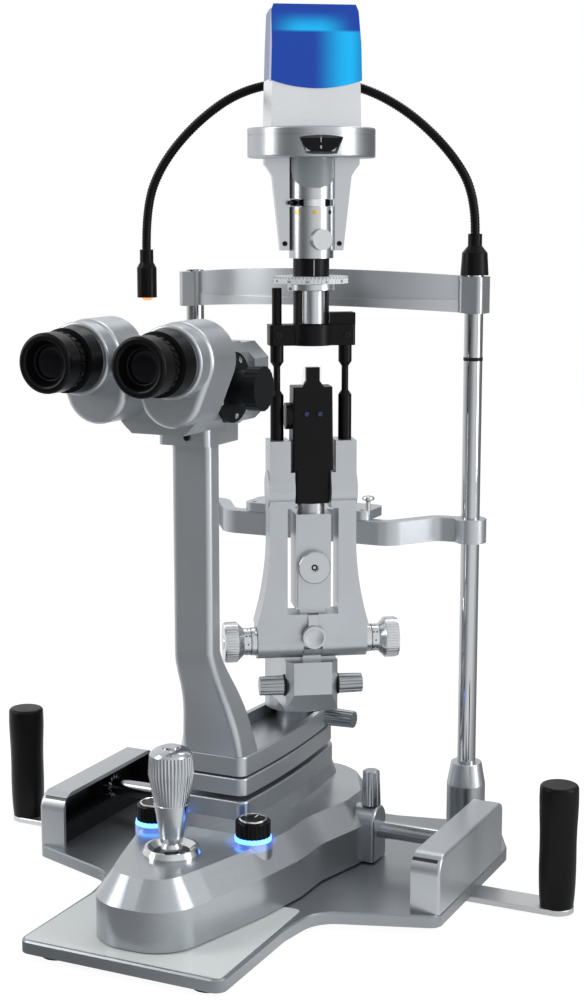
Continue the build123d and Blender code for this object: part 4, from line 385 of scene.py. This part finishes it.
def make_piece(name, mesh, finish, body, slot, *replaced, place=None):
    """A piece from a mesh that is already shaped, brought to its place in the mesh itself."""
    if place:
        mesh.transform(place)
    mesh.materials.clear()
    mesh.materials.append(finish.material)
    piece = bpy.data.objects.new(name, mesh)
    scene.collection.objects.link(piece)
    return settle(piece, body, slot, *replaced)


def smooth(mesh, angle=35.0):
    mesh.shade_smooth()
    mesh.set_sharp_from_angle(angle=math.radians(angle))
    return mesh


def joined(meshes):
    whole = bmesh.new()
    for mesh in meshes:
        whole.from_mesh(mesh)
    mesh = bpy.data.meshes.new("joined_shape")
    whole.to_mesh(mesh)
    whole.free()
    return mesh


def moved(mesh, point, facing=(0, 0, 1), up=(0, 1, 0)):
    mesh.transform(Matrix.Translation(Vector(point)) @ turning(facing, up).to_4x4())
    return mesh


eye_height = 0.436
band = [(0.00805, -0.0016), (0.0084, -0.0014), (0.0084, 0.0014), (0.00805, 0.0016)]
rings = [moved(lathe(band, 32), (side * post_x, post_y, eye_height)) for side in (-1, 1)]
make_piece("eye_height_rings", smooth(joined(rings)), screw_black, "stand", "black_plastic")

# Forehead band: a bowed aluminium casting, clamped on the posts by a cap screw in each block.
cast_grey.paint("forehead_band", "chin_bar", "chin_tray")
screw_steel = turned("screw_steel", (0.52, 0.53, 0.54), 0.25)
clamp_screws = [(Vector((side * post_x, post_y + 0.0131, 0.4905)), Y, Z) for side in (-1, 1)]
copies("band_screws", "stand", "steel", screw_steel, socket_screw(0.0032, 0.0026), clamp_screws)

# Chin rest: casting, tray and knurled height nut, with a steel pin that holds the paper tissues.
nut_metal = turned("nut_metal", (0.56, 0.58, 0.60), 0.28)
nut_metal.paint("chin_height_ring")
tray_low, tray_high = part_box("chin_tray")
pin = lathe([(0.0020, -0.003), (0.0020, 0.008), (0.0026, 0.0085), (0.0054, 0.0098), (0.0056, 0.0108),
             (0.0048, 0.0122), (0.0026, 0.0129), (0.0002, 0.0131)], 28)
pin_row = [(Vector((0.058, tray_low.y + 0.007, tray_high.z)), Z, Y)]
copies("tissue_pin", "chin_rest", "steel", screw_steel, smooth(pin), pin_row)

# Gooseneck: stiff hose of wound black steel, bent over the tower from the right post to the lamp.
# The winding is a row of rings along the route of the hose.
neck_black = moulded("neck_black", (0.003, 0.003, 0.0035), 0.3)
holder_black = moulded("holder_black", (0.003, 0.003, 0.0035), 0.32)
holder_black.paint("lamp_holder", "fixation_lamp_head")
neck_start, neck_end = Vector((0.1351, 0.1916, 0.542)), Vector((-0.1493, 0.1286, 0.527))
neck_route = [(0.0, 0.574), (0.072, 0.610), (0.205, 0.646), (0.36, 0.668), (0.53, 0.671), (0.70, 0.664),
              (0.84, 0.637), (0.95, 0.601), (1.0, 0.564)]
route = [neck_start.copy()]
for share, height in neck_route:
    spot = neck_start.lerp(neck_end, share)
    spot.z = height
    route.append(spot)
route.append(neck_end.copy())


def hose_tree():
    """Rings of two sizes in turn along a curve, joined as one wound hose."""
    tree = bpy.data.node_groups.new("wound_hose", "GeometryNodeTree")
    for name, kind in (("Route", "Geometry"), ("Pitch", "Float"), ("Radius", "Float"), ("Groove", "Float"),
                       ("Finish", "Material")):
        tree.interface.new_socket(name, in_out="INPUT", socket_type="NodeSocket" + kind)
    tree.interface.new_socket("Hose", in_out="OUTPUT", socket_type="NodeSocketGeometry")
    start, cut, count, odd, depth, reach, outline, sweep, real, coat, end = [tree.nodes.new(kind) for kind in (
        "NodeGroupInput", "GeometryNodeResampleCurve", "GeometryNodeInputIndex", "ShaderNodeMath",
        "ShaderNodeMath", "ShaderNodeMath", "GeometryNodeCurvePrimitiveCircle", "GeometryNodeCurveToMesh",
        "GeometryNodeRealizeInstances", "GeometryNodeSetMaterial", "NodeGroupOutput")]
    cut.mode = "LENGTH"
    odd.operation, depth.operation, reach.operation = "MODULO", "MULTIPLY", "SUBTRACT"
    odd.inputs[1].default_value = 2.0
    outline.inputs["Resolution"].default_value = 20
    outline.inputs["Radius"].default_value = 1.0
    sweep.inputs["Fill Caps"].default_value = True
    for source, target in (
            (start.outputs["Route"], cut.inputs["Curve"]), (start.outputs["Pitch"], cut.inputs["Length"]),
            (count.outputs[0], odd.inputs[0]), (odd.outputs[0], depth.inputs[0]),
            (start.outputs["Groove"], depth.inputs[1]), (start.outputs["Radius"], reach.inputs[0]),
            (depth.outputs[0], reach.inputs[1]), (cut.outputs[0], sweep.inputs["Curve"]),
            (outline.outputs[0], sweep.inputs["Profile Curve"]), (reach.outputs[0], sweep.inputs["Scale"]),
            (sweep.outputs[0], real.inputs[0]), (real.outputs[0], coat.inputs["Geometry"]),
            (start.outputs["Finish"], coat.inputs["Material"]), (coat.outputs[0], end.inputs["Hose"])):
        tree.links.new(source, target)
    return tree


winding = hose_tree()
line = bpy.data.curves.new("hose_route", "CURVE")
line.dimensions = "3D"
line.resolution_u = 24
spline = line.splines.new("NURBS")
spline.points.add(len(route) - 1)
for point, spot in zip(spline.points, route):
    point.co = (*spot, 1.0)
spline.order_u = 3
spline.use_endpoint_u = True
carrier = bpy.data.objects.new("hose_carrier", line)
scene.collection.objects.link(carrier)
modifier = carrier.modifiers.new("winding", "NODES")
modifier.node_group = winding
for key, value in (("Pitch", 0.0013), ("Radius", 0.0041), ("Groove", 0.00045), ("Finish", neck_black.material)):
    modifier[socket_of(winding, key)] = value
hose = finished_mesh(carrier)
bpy.data.objects.remove(carrier)
make_piece("gooseneck_hose", smooth(hose, 60.0), neck_black, "fixation_arm", "black_metal", "gooseneck")

# Fixation lens: red domed lens over a small lamp that is lit.
lens_red = Finish("lens_red", (0.9, 0.25, 0.08), 0.2, Emission_Color=(1.0, 0.32, 0.10, 1.0), Emission_Strength=1.2)
lens_red.feed("Roughness", lens_red.spread(lens_red.noise(lens_red.place(), 300.0), 0.15, 0.3))
lens_red.paint("fixation_lens")

# Cross slide base: hollow aluminium casting, lacquered silver, sliding on the axle. It carries the
# bezel of the joystick, the two lit dimmers and the knob that clamps it to the axle.
base_silver = cast_silver("base_silver", (0.40, 0.425, 0.45), 0.28)
x, y, z = base_silver.parts(base_silver.place((0.0, -0.0515, 0.0)))
off_axis = x.size() - 0.045
reach = base_silver.node("ShaderNodeMath", {"operation": "SQRT"}, off_axis * off_axis + y * y)
ring_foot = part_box("dimmer_light_rings")[0].z
# Painted light: a blue glow is painted into the base's emission round each dimmer, standing in for the light the
# rings throw on the casting.
painted_dimmer_glow = base_silver.fade(reach, 0.026, 0.012) * z.above(ring_foot - 0.006)
base_silver.feed("Emission Color", base_silver.mix(painted_dimmer_glow, (0.0, 0.0, 0.0), (0.01, 0.13, 0.75)))
base_silver.shader.inputs["Emission Strength"].default_value = 0.7
base_silver.paint("xy_base")
bezel_chrome = turned("bezel_chrome", (0.62, 0.635, 0.655), 0.16)
bezel_chrome.paint("joystick_bezel")
knob_metal = turned("knob_metal", (0.36, 0.38, 0.40), 0.26)
knob_metal.paint("axle_clamp_knob", "scope_lock_knob")

# Dimmers: black knobs over rings that glow blue, each with a bright trim ring and a pointer.
ring_glow = Finish("ring_glow", (0.3, 0.7, 1.0), 0.3, Emission_Color=(0.07, 0.26, 1.0, 1.0), Emission_Strength=4.0)
ring_glow.feed("Roughness", ring_glow.spread(ring_glow.noise(ring_glow.place(), 200.0), 0.25, 0.35))
ring_glow.paint("dimmer_light_rings")
dimmer_black = moulded("dimmer_black", (0.003, 0.003, 0.004), 0.25)
dimmer_black.paint("dimmer_knob_left", "dimmer_knob_right")
trim_chrome = turned("trim_chrome", (0.75, 0.76, 0.77), 0.15)
mark_white = moulded("mark_white", (0.82, 0.83, 0.84), 0.4, 500.0, shine=0.5)
trim = [(0.0098, -0.0004), (0.0112, -0.0004), (0.0112, 0.0005), (0.0106, 0.0008), (0.0098, 0.0005)]


def ring_mesh(profile, sides=48):
    """A closed ring round Z from a closed (radius, height) outline."""
    shape = bmesh.new()
    loops = []
    for side in range(sides):
        angle = 2 * math.pi * side / sides
        loops.append([shape.verts.new((reach * math.cos(angle), reach * math.sin(angle), height))
                      for reach, height in profile])
    for this, after in zip(loops, loops[1:] + loops[:1]):
        for step in range(len(profile)):
            other = (step + 1) % len(profile)
            shape.faces.new((this[step], after[step], after[other], this[other]))
    bmesh.ops.recalc_face_normals(shape, faces=shape.faces)
    mesh = bpy.data.meshes.new("ring_shape")
    shape.to_mesh(mesh)
    shape.free()
    return mesh


def block(width, length, height, bevel=0.0):
    """A small closed block standing on Z zero."""
    shape = bmesh.new()
    bmesh.ops.create_cube(shape, size=1.0)
    bmesh.ops.transform(shape, verts=shape.verts, matrix=Matrix.Diagonal((width, length, height, 1.0)))
    bmesh.ops.translate(shape, verts=shape.verts, vec=(0.0, 0.0, height / 2))
    if bevel:
        bmesh.ops.bevel(shape, geom=shape.edges[:], offset=bevel, segments=2, affect="EDGES")
    mesh = bpy.data.meshes.new("block_shape")
    shape.to_mesh(mesh)
    shape.free()
    return mesh


for side_name, side in (("left", -1), ("right", 1)):
    body = "dimmer_" + side_name
    low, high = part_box("dimmer_knob_" + side_name)
    top = Vector((side * 0.045, -0.0515, high.z))
    make_piece(body + "_trim", smooth(moved(ring_mesh(trim), top)), trim_chrome, body, "chrome")
    make_piece(body + "_pointer", moved(block(0.0012, 0.0055, 0.0003), top + Vector((0.0, 0.0062, -0.0001))),
               mark_white, body, "white_paint")

# Joystick: turned aluminium grip with sharp ribs over a steel stem, rocking in a small gimbal.
stick_metal = turned("stick_metal", (0.50, 0.525, 0.555), 0.18)
stick_metal.paint("joystick_grip")
stem_steel = turned("stem_steel", (0.58, 0.59, 0.60), 0.2)
stem_steel.paint("joystick_stem", "gimbal_ring")

# Lift block and microscope arm: lacquered aluminium castings, stacked on the steel spindle.
cast_grey.paint("lift_block", "scope_arm")

# Microscope body: the casting takes the black magnification drum, which carries white figures,
# and the objective in its black ring. Two cap screws hold the body on the bracket.
cast_grey.paint("scope_body", "prism_housing_left", "prism_housing_right")
drum_black = moulded("drum_black", (0.006, 0.007, 0.008), 0.4, 1400.0, 0.00002)
drum_black.paint("magnification_drum", "objective")
coated_glass = Finish("coated_glass", (0.002, 0.002, 0.004), 0.04, Specular_IOR_Level=0.25)
coated_glass.feed("Roughness", coated_glass.spread(coated_glass.noise(coated_glass.place(), 80.0), 0.03, 0.06))


def figures(name, body, slot, finish, marks, height):
    """Printed figures as one mesh; marks are (text, point, facing, up)."""
    shapes = []
    for text, point, facing, up in marks:
        letters = bpy.data.curves.new("figure", "FONT")
        letters.body = text
        letters.size = height
        letters.align_x = "CENTER"
        letters.align_y = "CENTER"
        letters.extrude = 0.00005
        letters.resolution_u = 3
        holder = bpy.data.objects.new("figure", letters)
        scene.collection.objects.link(holder)
        bpy.context.view_layer.update()
        shapes.append(moved(finished_mesh(holder), point, facing, up))
        bpy.data.objects.remove(holder)
    return make_piece(name, joined(shapes), finish, body, slot)


drum_axis = Vector((0.0, -0.056, 0.430))
drum_marks = []
for side in (-1, 1):
    for step, text in enumerate(("6", "10", "16", "25", "40")):
        angle = math.radians(118.0 - 72.0 * step)
        out = Vector((0.0, -math.sin(angle), math.cos(angle)))
        drum_marks.append((text, drum_axis + X * side * 0.0331 + out * 0.0222, X * side, out))
figures("drum_figures", "drum", "white_paint", mark_white, drum_marks, 0.0055)
lens_profile = [(0.0, 0.0), (0.35, 0.02), (0.6, 0.10), (0.8, 0.30), (0.93, 0.64), (1.0, 1.0)]


def lens_mesh(radius, bulge, thick):
    """A domed lens facing Z, its crown at Z zero."""
    shape = [(radius, -bulge - thick)] + [(radius * r + 0.00001, -bulge * drop) for r, drop in lens_profile[::-1]]
    return smooth(lathe(shape, 40), 60.0)


front_glass = moved(lens_mesh(0.0203, 0.0023, 0.0002), (0.0, -0.002 + 0.0085, 0.430), Y, Z)
make_piece("objective_lens", front_glass, coated_glass, "scope", "black_metal")
body_screws = [(Vector((side * 0.027, -0.0019, 0.430 + rise)), Y, Z) for side in (-1, 1) for rise in (-0.022, 0.021)]
copies("body_screws", "scope", "steel", screw_steel, socket_screw(0.0021, 0.0016), body_screws)
focus_mark = [(Vector((0.004, -0.0786, 0.3925)), -Y, Z)]
copies("bracket_screw", "scope", "black_metal", screw_black, socket_screw(0.0024, 0.0016), focus_mark)

# Eyepieces: black anodised tubes with a rubber cup, a coated lens and a ring of focus marks.
eye_black = moulded("eye_black", (0.0025, 0.0025, 0.003), 0.3, 1500.0, 0.00002)
eye_black.paint("eyepiece_left", "eyepiece_right")
for side_name, side in (("left", -1), ("right", 1)):
    body = "ocular_" + side_name
    centre = Vector((side * 0.0377, 0.0, 0.4575))
    glass = moved(lens_mesh(0.0124, 0.0013, 0.0003), centre + Vector((0.0, -0.2085 + 0.0072, 0.0)), -Y, Z)
    make_piece("eye_lens_" + side_name, glass, coated_glass, body, "black_metal")
    collar = moved(ring_mesh([(0.0120, -0.0016), (0.0138, -0.0016), (0.0138, 0.0), (0.0126, 0.0004), (0.0120, 0.0)]),
                   centre + Vector((0.0, -0.2085 + 0.0078, 0.0)), -Y, Z)
    make_piece("lens_collar_" + side_name, smooth(collar), drum_black, body, "black_metal")
    marks = []
    for step in range(-6, 7):
        angle = math.radians(step * 12.0 + 18.0)
        out = Vector((math.sin(angle), 0.0, math.cos(angle)))
        marks.append((centre + out * 0.02345 + Vector((0.0, -0.1722, 0.0)), out, Y))
    copies("focus_marks_" + side_name, body, "white_paint", mark_white, block(0.0005, 0.0028, 0.0002), marks)

# Illumination arm: silver casting that swings on the spindle under the tower, with two lock knobs
# that bear on black washers.
cast_grey.paint("illumination_arm")
knob_metal.paint("arm_lock_knob_left", "arm_lock_knob_right")
tower_turn = math.radians(34.0)
tower_origin = Vector((0.070 * math.sin(tower_turn), 0.1265 - 0.070 * math.cos(tower_turn), 0.0))
tower_right = Vector((math.cos(tower_turn), math.sin(tower_turn), 0.0))
tower_back = Vector((-math.sin(tower_turn), math.cos(tower_turn), 0.0))


def tower(x, y, z):
    """A point of the tower: x to its right, y to its back, z up, in millimetres."""
    return tower_origin + (tower_right * x + tower_back * y + Z * z) * 0.001


for side_name, side in (("left", -1), ("right", 1)):
    washer = ring_mesh([(0.0034, 0.0), (0.0092, 0.0), (0.0092, 0.0010), (0.0088, 0.0013), (0.0034, 0.0013)])
    make_piece("lock_washer_" + side_name,
               smooth(moved(washer, tower(side * 22.05, -1.0, 168.0), tower_right * side, Z)),
               screw_black, "lamp_arm", "black_plastic")

# Slit width knobs: turned aluminium on one shaft, with ribbed rims and engraved dots on the necks.
slit_metal = turned("slit_metal", (0.60, 0.615, 0.635), 0.24, "X", tower_turn)
slit_metal.paint("slit_width_knobs")
dot = lathe([(0.0007, -0.0002), (0.0007, 0.00008), (0.0006, 0.00012)], 14)
neck_dots = []
for side in (-1, 1):
    for step in range(10):
        angle = 2 * math.pi * step / 10
        out = tower_back * -math.cos(angle) + Z * math.sin(angle)
        for along in (52.4, 55.2) if step % 2 else (53.8,):
            neck_dots.append((tower(side * along, 0.0, 206.5) + out * 0.01131, out, tower_right))
copies("neck_dots", "slit_knobs", "black_metal", screw_black, dot, neck_dots, 1.0)
neck_lines = [ring_mesh([(0.0112, -0.0003), (0.01145, -0.0003), (0.01145, 0.0003), (0.0112, 0.0003)])
              for side in (-1, 1)]
for side, mesh in zip((-1, 1), neck_lines):
    moved(mesh, tower(side * 51.0, 0.0, 206.5), tower_right, Z)
make_piece("neck_lines", joined(neck_lines), screw_black, "slit_knobs", "black_metal")

# Tower: the fork is a lacquered casting, with a lighter block between its legs, a centring knob
# held by a small screw, and a sprung steel latch for the tilt.
fork_silver = cast_silver("fork_silver", (0.47, 0.495, 0.52), 0.31)
fork_silver.paint("tower_fork", "inner_block")
disc_metal = turned("disc_metal", (0.50, 0.52, 0.54), 0.28, "Y", tower_turn)
disc_metal.paint("centring_knob", "tilt_latch")
centre_screw = [(tower(0.0, -19.0, 272.0), -tower_back, Z)]
copies("centre_screw", "centring", "black_metal", screw_black, socket_screw(0.0026, 0.0018), centre_screw)

# Mirror holder: black anodised housing on the post of the block. The mirror is a slanted glass block.
holder_finish = moulded("mirror_black", (0.004, 0.004, 0.005), 0.34, 1200.0, 0.00002)
holder_finish.paint("mirror_holder")
mirror_silver = Finish("mirror_silver", (0.9, 0.91, 0.92), 0.03, 1.0)
mirror_silver.feed("Roughness", mirror_silver.spread(mirror_silver.noise(mirror_silver.place(), 50.0), 0.02, 0.05))
mirror_silver.paint("slit_mirror")
screw_blue = turned("screw_blue", (0.05, 0.06, 0.12), 0.3)
holder_screws = [(tower(x, -11.95, z), -tower_back, Z) for x, z in ((-5.5, 398.0), (5.5, 398.0))]
copies("mirror_screws", "mirror", "black_metal", screw_blue, socket_screw(0.0019, 0.0011), holder_screws)

# Rods and yoke: black anodised rods screwed into the fork, and a black cross piece with the optic tube.
# Grub screws in the yoke clamp the rods and the bright lens tube.
yoke_black = moulded("yoke_black", (0.004, 0.004, 0.005), 0.32, 1300.0, 0.00002)
yoke_black.paint("tower_rods", "optic_yoke")
yoke_screws = [(tower(x, -9.95, 462.0), -tower_back, Z) for x in (-28.2, 28.2)]
copies("yoke_screws", "tower", "black_metal", screw_black, socket_screw(0.0027, 0.0013), yoke_screws)
lens_metal = turned("lens_metal", (0.55, 0.57, 0.595), 0.22)
lens_metal.paint("head_flange")

# Scale ring: white enamelled ring with black degree marks round its edge, turning over the flange.
scale_low, scale_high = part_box("scale_ring")
scale_white = moulded("scale_white", (0.74, 0.75, 0.76), 0.32, 900.0, 0.00002, 0.5)
scale_white.paint("scale_ring")
mark_black = moulded("mark_black", (0.015, 0.015, 0.016), 0.4)
degree_marks, degree_figures = [], []
for step in range(60):
    angle = math.radians(step * 6.0 + 3.0)
    out = tower_right * math.sin(angle) - tower_back * math.cos(angle)
    long = step % 5 == 2
    degree_marks.append((tower(0.0, 0.0, 508.3 if long else 508.6) + out * 0.0302, out, Z))
    if long:
        figure = str(abs((step - 2) * 6 - (360 if step > 32 else 0)) % 181)
        degree_figures.append((figure, tower(0.0, 0.0, 505.6) + out * 0.0303, out, Z))
copies("degree_marks", "tower", "black_metal", mark_black, block(0.0004, 0.0015, 0.00015), degree_marks)
figures("degree_figures", "tower", "black_metal", mark_black, degree_figures, 0.0026)

# Index tube: black neck of the slit head, with a white line that is read against the scale.
yoke_black.paint("index_tube")
index_line = [(tower(0.0, -14.68, 516.5), -tower_back, Z)]
copies("index_line", "slit_head", "white_paint", mark_white, block(0.0005, 0.0135, 0.00012), index_line)

# Slit head: turned and anodised barrel with two cast ribs, a chromed filter ring that turns in its
# slot, filter dots in gold and black, a grey half sleeve and the ribbed aperture knob.
barrel_metal = turned("barrel_metal", (0.52, 0.54, 0.565), 0.26)
barrel_metal.paint("slit_cylinder")
filter_chrome = turned("filter_chrome", (0.75, 0.76, 0.77), 0.1)
x, y, z = filter_chrome.parts(filter_chrome.place(tuple(tower_origin), tower_turn))
dark_arc = x.size().above(0.0085) * y.below(0.0)
filter_chrome.feed("Base Color", filter_chrome.mix(dark_arc, (0.75, 0.76, 0.77), (0.02, 0.02, 0.02)))
filter_chrome.paint("filter_ring")
aperture_metal = turned("aperture_metal", (0.56, 0.58, 0.595), 0.24, "Y", tower_turn)
aperture_metal.paint("aperture_knob")
dot_gold = turned("dot_gold", (0.72, 0.42, 0.06), 0.25)
for name, finish, angles in (("filter_dots_gold", dot_gold, (-47.0, 0.0)), ("filter_dot_black", mark_black, (47.0,))):
    spots = []
    for degrees in angles:
        angle = math.radians(degrees)
        out = tower_right * math.sin(angle) - tower_back * math.cos(angle)
        spots.append((tower(0.0, 0.0, 560.5) + out * 0.01799, out, Z))
    copies(name, "slit_head", "black_metal" if "black" in name else "chrome", finish, dot, spots, 2.6)


def half_sleeve(radius, wall, top, drop, half_angle):
    """A thin shell on the front of the barrel, cut to a round end below."""
    shape = bmesh.new()
    columns, rows = 24, 10
    layers = []
    for reach in (radius - 0.0003, radius + wall):
        grid = []
        for column in range(columns + 1):
            share = -1.0 + 2.0 * column / columns
            angle = half_angle * share
            foot = top - drop * (0.42 + 0.58 * math.sqrt(max(0.0, 1.0 - share * share)))
            out = tower_right * math.sin(angle) - tower_back * math.cos(angle)
            grid.append([shape.verts.new(tower_origin + out * reach + Z * (top + (foot - top) * row / rows))
                         for row in range(rows + 1)])
        layers.append(grid)
    inner, outer = layers
    for column in range(columns):
        for row in range(rows):
            shape.faces.new((outer[column][row], outer[column][row + 1], outer[column + 1][row + 1], outer[column + 1][row]))
            shape.faces.new((inner[column][row], inner[column + 1][row], inner[column + 1][row + 1], inner[column][row + 1]))
        for row in (0, rows):
            shape.faces.new((inner[column][row], inner[column + 1][row], outer[column + 1][row], outer[column][row]))
    for column in (0, columns):
        for row in range(rows):
            shape.faces.new((inner[column][row], inner[column][row + 1], outer[column][row + 1], outer[column][row]))
    bmesh.ops.recalc_face_normals(shape, faces=shape.faces)
    mesh = bpy.data.meshes.new("half_sleeve")
    shape.to_mesh(mesh)
    shape.free()
    return smooth(mesh)


sleeve_grey = moulded("sleeve_grey", (0.27, 0.30, 0.31), 0.38, shine=0.4)
make_piece("half_sleeve", half_sleeve(0.018, 0.0012, 0.6031, 0.0235, math.radians(66.0)), sleeve_grey,
           "slit_head", "cast_paint")
rib_screws = [(tower(side * 22.2, -3.4, 535.5), -tower_back, Z) for side in (-1, 1)]
copies("rib_screws", "slit_head", "black_metal", screw_black, socket_screw(0.0019, 0.0014), rib_screws)

# Head disc: turned and lacquered housing with a seam and a window, in which a black dial shows
# how long the slit is. The dial has a white index line and a white figure.
disc_silver = turned("disc_silver", (0.45, 0.47, 0.495), 0.3, metallic=0.9)
disc_silver.paint("head_disc")


def window_dial(radius, squash, thick):
    """A half round plate, its flat edge up, facing Z."""
    shape = bmesh.new()
    loops = []
    for height in (0.0, thick):
        loop = [shape.verts.new((radius * math.cos(math.pi * step / 28), -squash * radius * math.sin(math.pi * step / 28),
                                 height)) for step in range(29)]
        loops.append(loop)
    shape.faces.new(loops[0][::-1])
    shape.faces.new(loops[1])
    for step in range(29):
        after = (step + 1) % 29
        shape.faces.new((loops[0][step], loops[0][after], loops[1][after], loops[1][step]))
    bmesh.ops.recalc_face_normals(shape, faces=shape.faces)
    mesh = bpy.data.meshes.new("window_dial")
    shape.to_mesh(mesh)
    shape.free()
    return mesh


dial_face = tower(0.0, -46.3, 619.6)
make_piece("window_dial", moved(window_dial(0.0168, 0.80, 0.0009), dial_face, -tower_back, Z), dimmer_black,
           "slit_head", "black_metal")
copies("dial_line", "slit_head", "white_paint", mark_white, block(0.0005, 0.0045, 0.0001),
       [(tower(0.0, -47.25, 616.6), -tower_back, Z)])
figures("dial_figure", "slit_head", "white_paint", mark_white,
        [("8", tower(0.0, -47.3, 610.6), -tower_back, Z)], 0.0034)

# Lamp house: light silver casting, with a glossy blue moulding over its upper front.
# The moulding is deep blue, with painted highlights that clear it to a bright blue at the right and under the fold.
house_silver = cast_silver("house_silver", (0.76, 0.78, 0.80), 0.24, 0.6)
x, y, z = house_silver.parts(house_silver.place(tuple(tower_origin), tower_turn))
blue_part = z.above(0.6645)
house_silver.feed("Base Color", house_silver.mix(blue_part, house_silver.tone, (0.002, 0.028, 0.22)))
house_silver.feed("Coat Weight", 0.25 - blue_part * 0.25)
house_silver.paint("lamp_house")
cap_blue = Finish("cap_blue", (0.01, 0.10, 0.55), 0.16, 0.75, Coat_Weight=0.25, Coat_Roughness=0.04)
x, y, z = cap_blue.parts(cap_blue.place(tuple(tower_origin), tower_turn))
# Painted highlights: the right of the face and the band under the fold are painted bright blue, standing in for light
# falling on them, while the left stays deep blue.
right_painted_highlight = cap_blue.fade(x, -0.004, 0.026)
edge_fade = 1.0 - 0.5 * cap_blue.fade(x, 0.027, 0.037)
face_part = cap_blue.node("ShaderNodeMapRange", None, z, 0.6995, 0.7015, 1.0, 0.0)
fold_painted_highlight = cap_blue.fade(z, 0.717, 0.7015)
middle = cap_blue.fade((x + 0.004).size(), 0.036, 0.006)
share = right_painted_highlight * edge_fade * face_part + (1.0 - face_part) * fold_painted_highlight * middle
cap_blue.feed("Base Color", cap_blue.mix(share, (0.004, 0.055, 0.40), (0.0, 0.50, 0.98)))
cap_blue.paint("lamp_cap")

# Studio: a white floor and background, soft lights on both sides and above, dark flags in front of
# and behind the object for the metal to mirror, and the camera where the photographer stood.
floor_mesh = bpy.data.meshes.new("floor")
floor_mesh.from_pydata([(-6, -6, 0), (6, -6, 0), (6, 6, 0), (-6, 6, 0)], [], [(0, 1, 2, 3)])
floor = bpy.data.objects.new("floor", floor_mesh)
scene.collection.objects.link(floor)
floor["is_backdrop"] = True


def seen_rays(shading):
    """The camera's rays, and 1 for these and for a ray that metal mirrors or glass passes on."""
    rays = shading.node("ShaderNodeLightPath").socket.node.outputs
    straight, mirrored, passed = [Wire(shading, rays[name]) for name in (
        "Is Camera Ray", "Is Glossy Ray", "Is Transmission Ray")]
    return straight, straight.math("MAXIMUM", straight.math("MAXIMUM", straight, mirrored), passed)


def flag_level(shading, x, y, rise):
    """How bright the studio is in a direction: dark flags lie in front and behind."""
    across = (x * 0.906 - y * 0.423).size()
    sides = across.math("POWER", across, 2.4)
    return across.math("MINIMUM", sides + 0.12 + rise * 0.7, 1.0)


paper = Finish("floor_paper", (0.90, 0.90, 0.90), 0.9)
straight, seen = seen_rays(paper)
x, y, z = paper.parts(paper.node("ShaderNodeVectorMath", {"operation": "NORMALIZE"}, paper.place()))
glow = straight.math("MAXIMUM", flag_level(paper, x, y, 0.12 * straight), straight) * 1.14
white_light = paper.node("ShaderNodeEmission", None, Strength=glow)
paper_look = Wire(paper, paper.shader.outputs[0])
whole = paper.node("ShaderNodeMixShader", None, seen * 0.82, paper_look, white_light)
paper.tree.links.new(whole.socket, paper.tree.nodes["Material Output"].inputs["Surface"])
floor_mesh.materials.append(paper.material)

scene.view_settings.view_transform = "Standard"
camera_data = bpy.data.cameras.new("camera")
camera_data.sensor_width = 36.0
camera_data.lens = 64.2
camera_data.clip_end = 50.0
camera = bpy.data.objects.new("camera", camera_data)
camera_right, camera_up = Vector((0.9027, 0.4302, 0.0)), Vector((-0.0710, 0.1490, 0.9863))
axes = Matrix((camera_right, camera_up, camera_right.cross(camera_up))).transposed()
camera.matrix_world = Matrix.Translation((0.65203, -1.25371, 0.56891)) @ axes.to_4x4()
scene.collection.objects.link(camera)
scene.camera = camera

world = bpy.data.worlds.new("studio")
world.use_nodes = True
scene.world = world
sky = Shading(world.node_tree)
straight, seen = seen_rays(sky)
x, y, z = sky.parts(sky.node("ShaderNodeTexCoord", output=0))
level = flag_level(sky, x, y, z.math("MAXIMUM", z, 0.0))
soft = sky.node("ShaderNodeBackground", None, (0.93, 0.96, 1.0, 1.0), 0.42)
mirrored = sky.node("ShaderNodeBackground", None, (1.0, 1.0, 1.0, 1.0), level)
white = sky.node("ShaderNodeBackground", None, (1.0, 1.0, 1.0, 1.0), 1.0)
whole = sky.node("ShaderNodeMixShader", None, straight, sky.node("ShaderNodeMixShader", None, seen, soft, mirrored),
                 white)
sky.tree.links.new(whole.socket, sky.tree.nodes["World Output"].inputs["Surface"])


def soft_light(name, place, aim, size, power):
    light = bpy.data.lights.new(name, "AREA")
    light.shape = "RECTANGLE"
    light.size, light.size_y = size
    light.energy = power
    lamp = bpy.data.objects.new(name, light)
    direction = Vector(aim) - Vector(place)
    lamp.matrix_world = Matrix.Translation(place) @ direction.to_track_quat("-Z", "Y").to_matrix().to_4x4()
    scene.collection.objects.link(lamp)


soft_light("key_left", (-1.6, -1.1, 1.3), (0.0, 0.0, 0.35), (0.7, 1.8), 20.0)
soft_light("rim_right", (1.9, 0.2, 0.9), (0.0, 0.0, 0.35), (0.6, 1.8), 18.0)
soft_light("top_back", (0.1, 1.2, 2.0), (0.0, 0.0, 0.4), (1.6, 0.8), 12.0)

low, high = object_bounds()
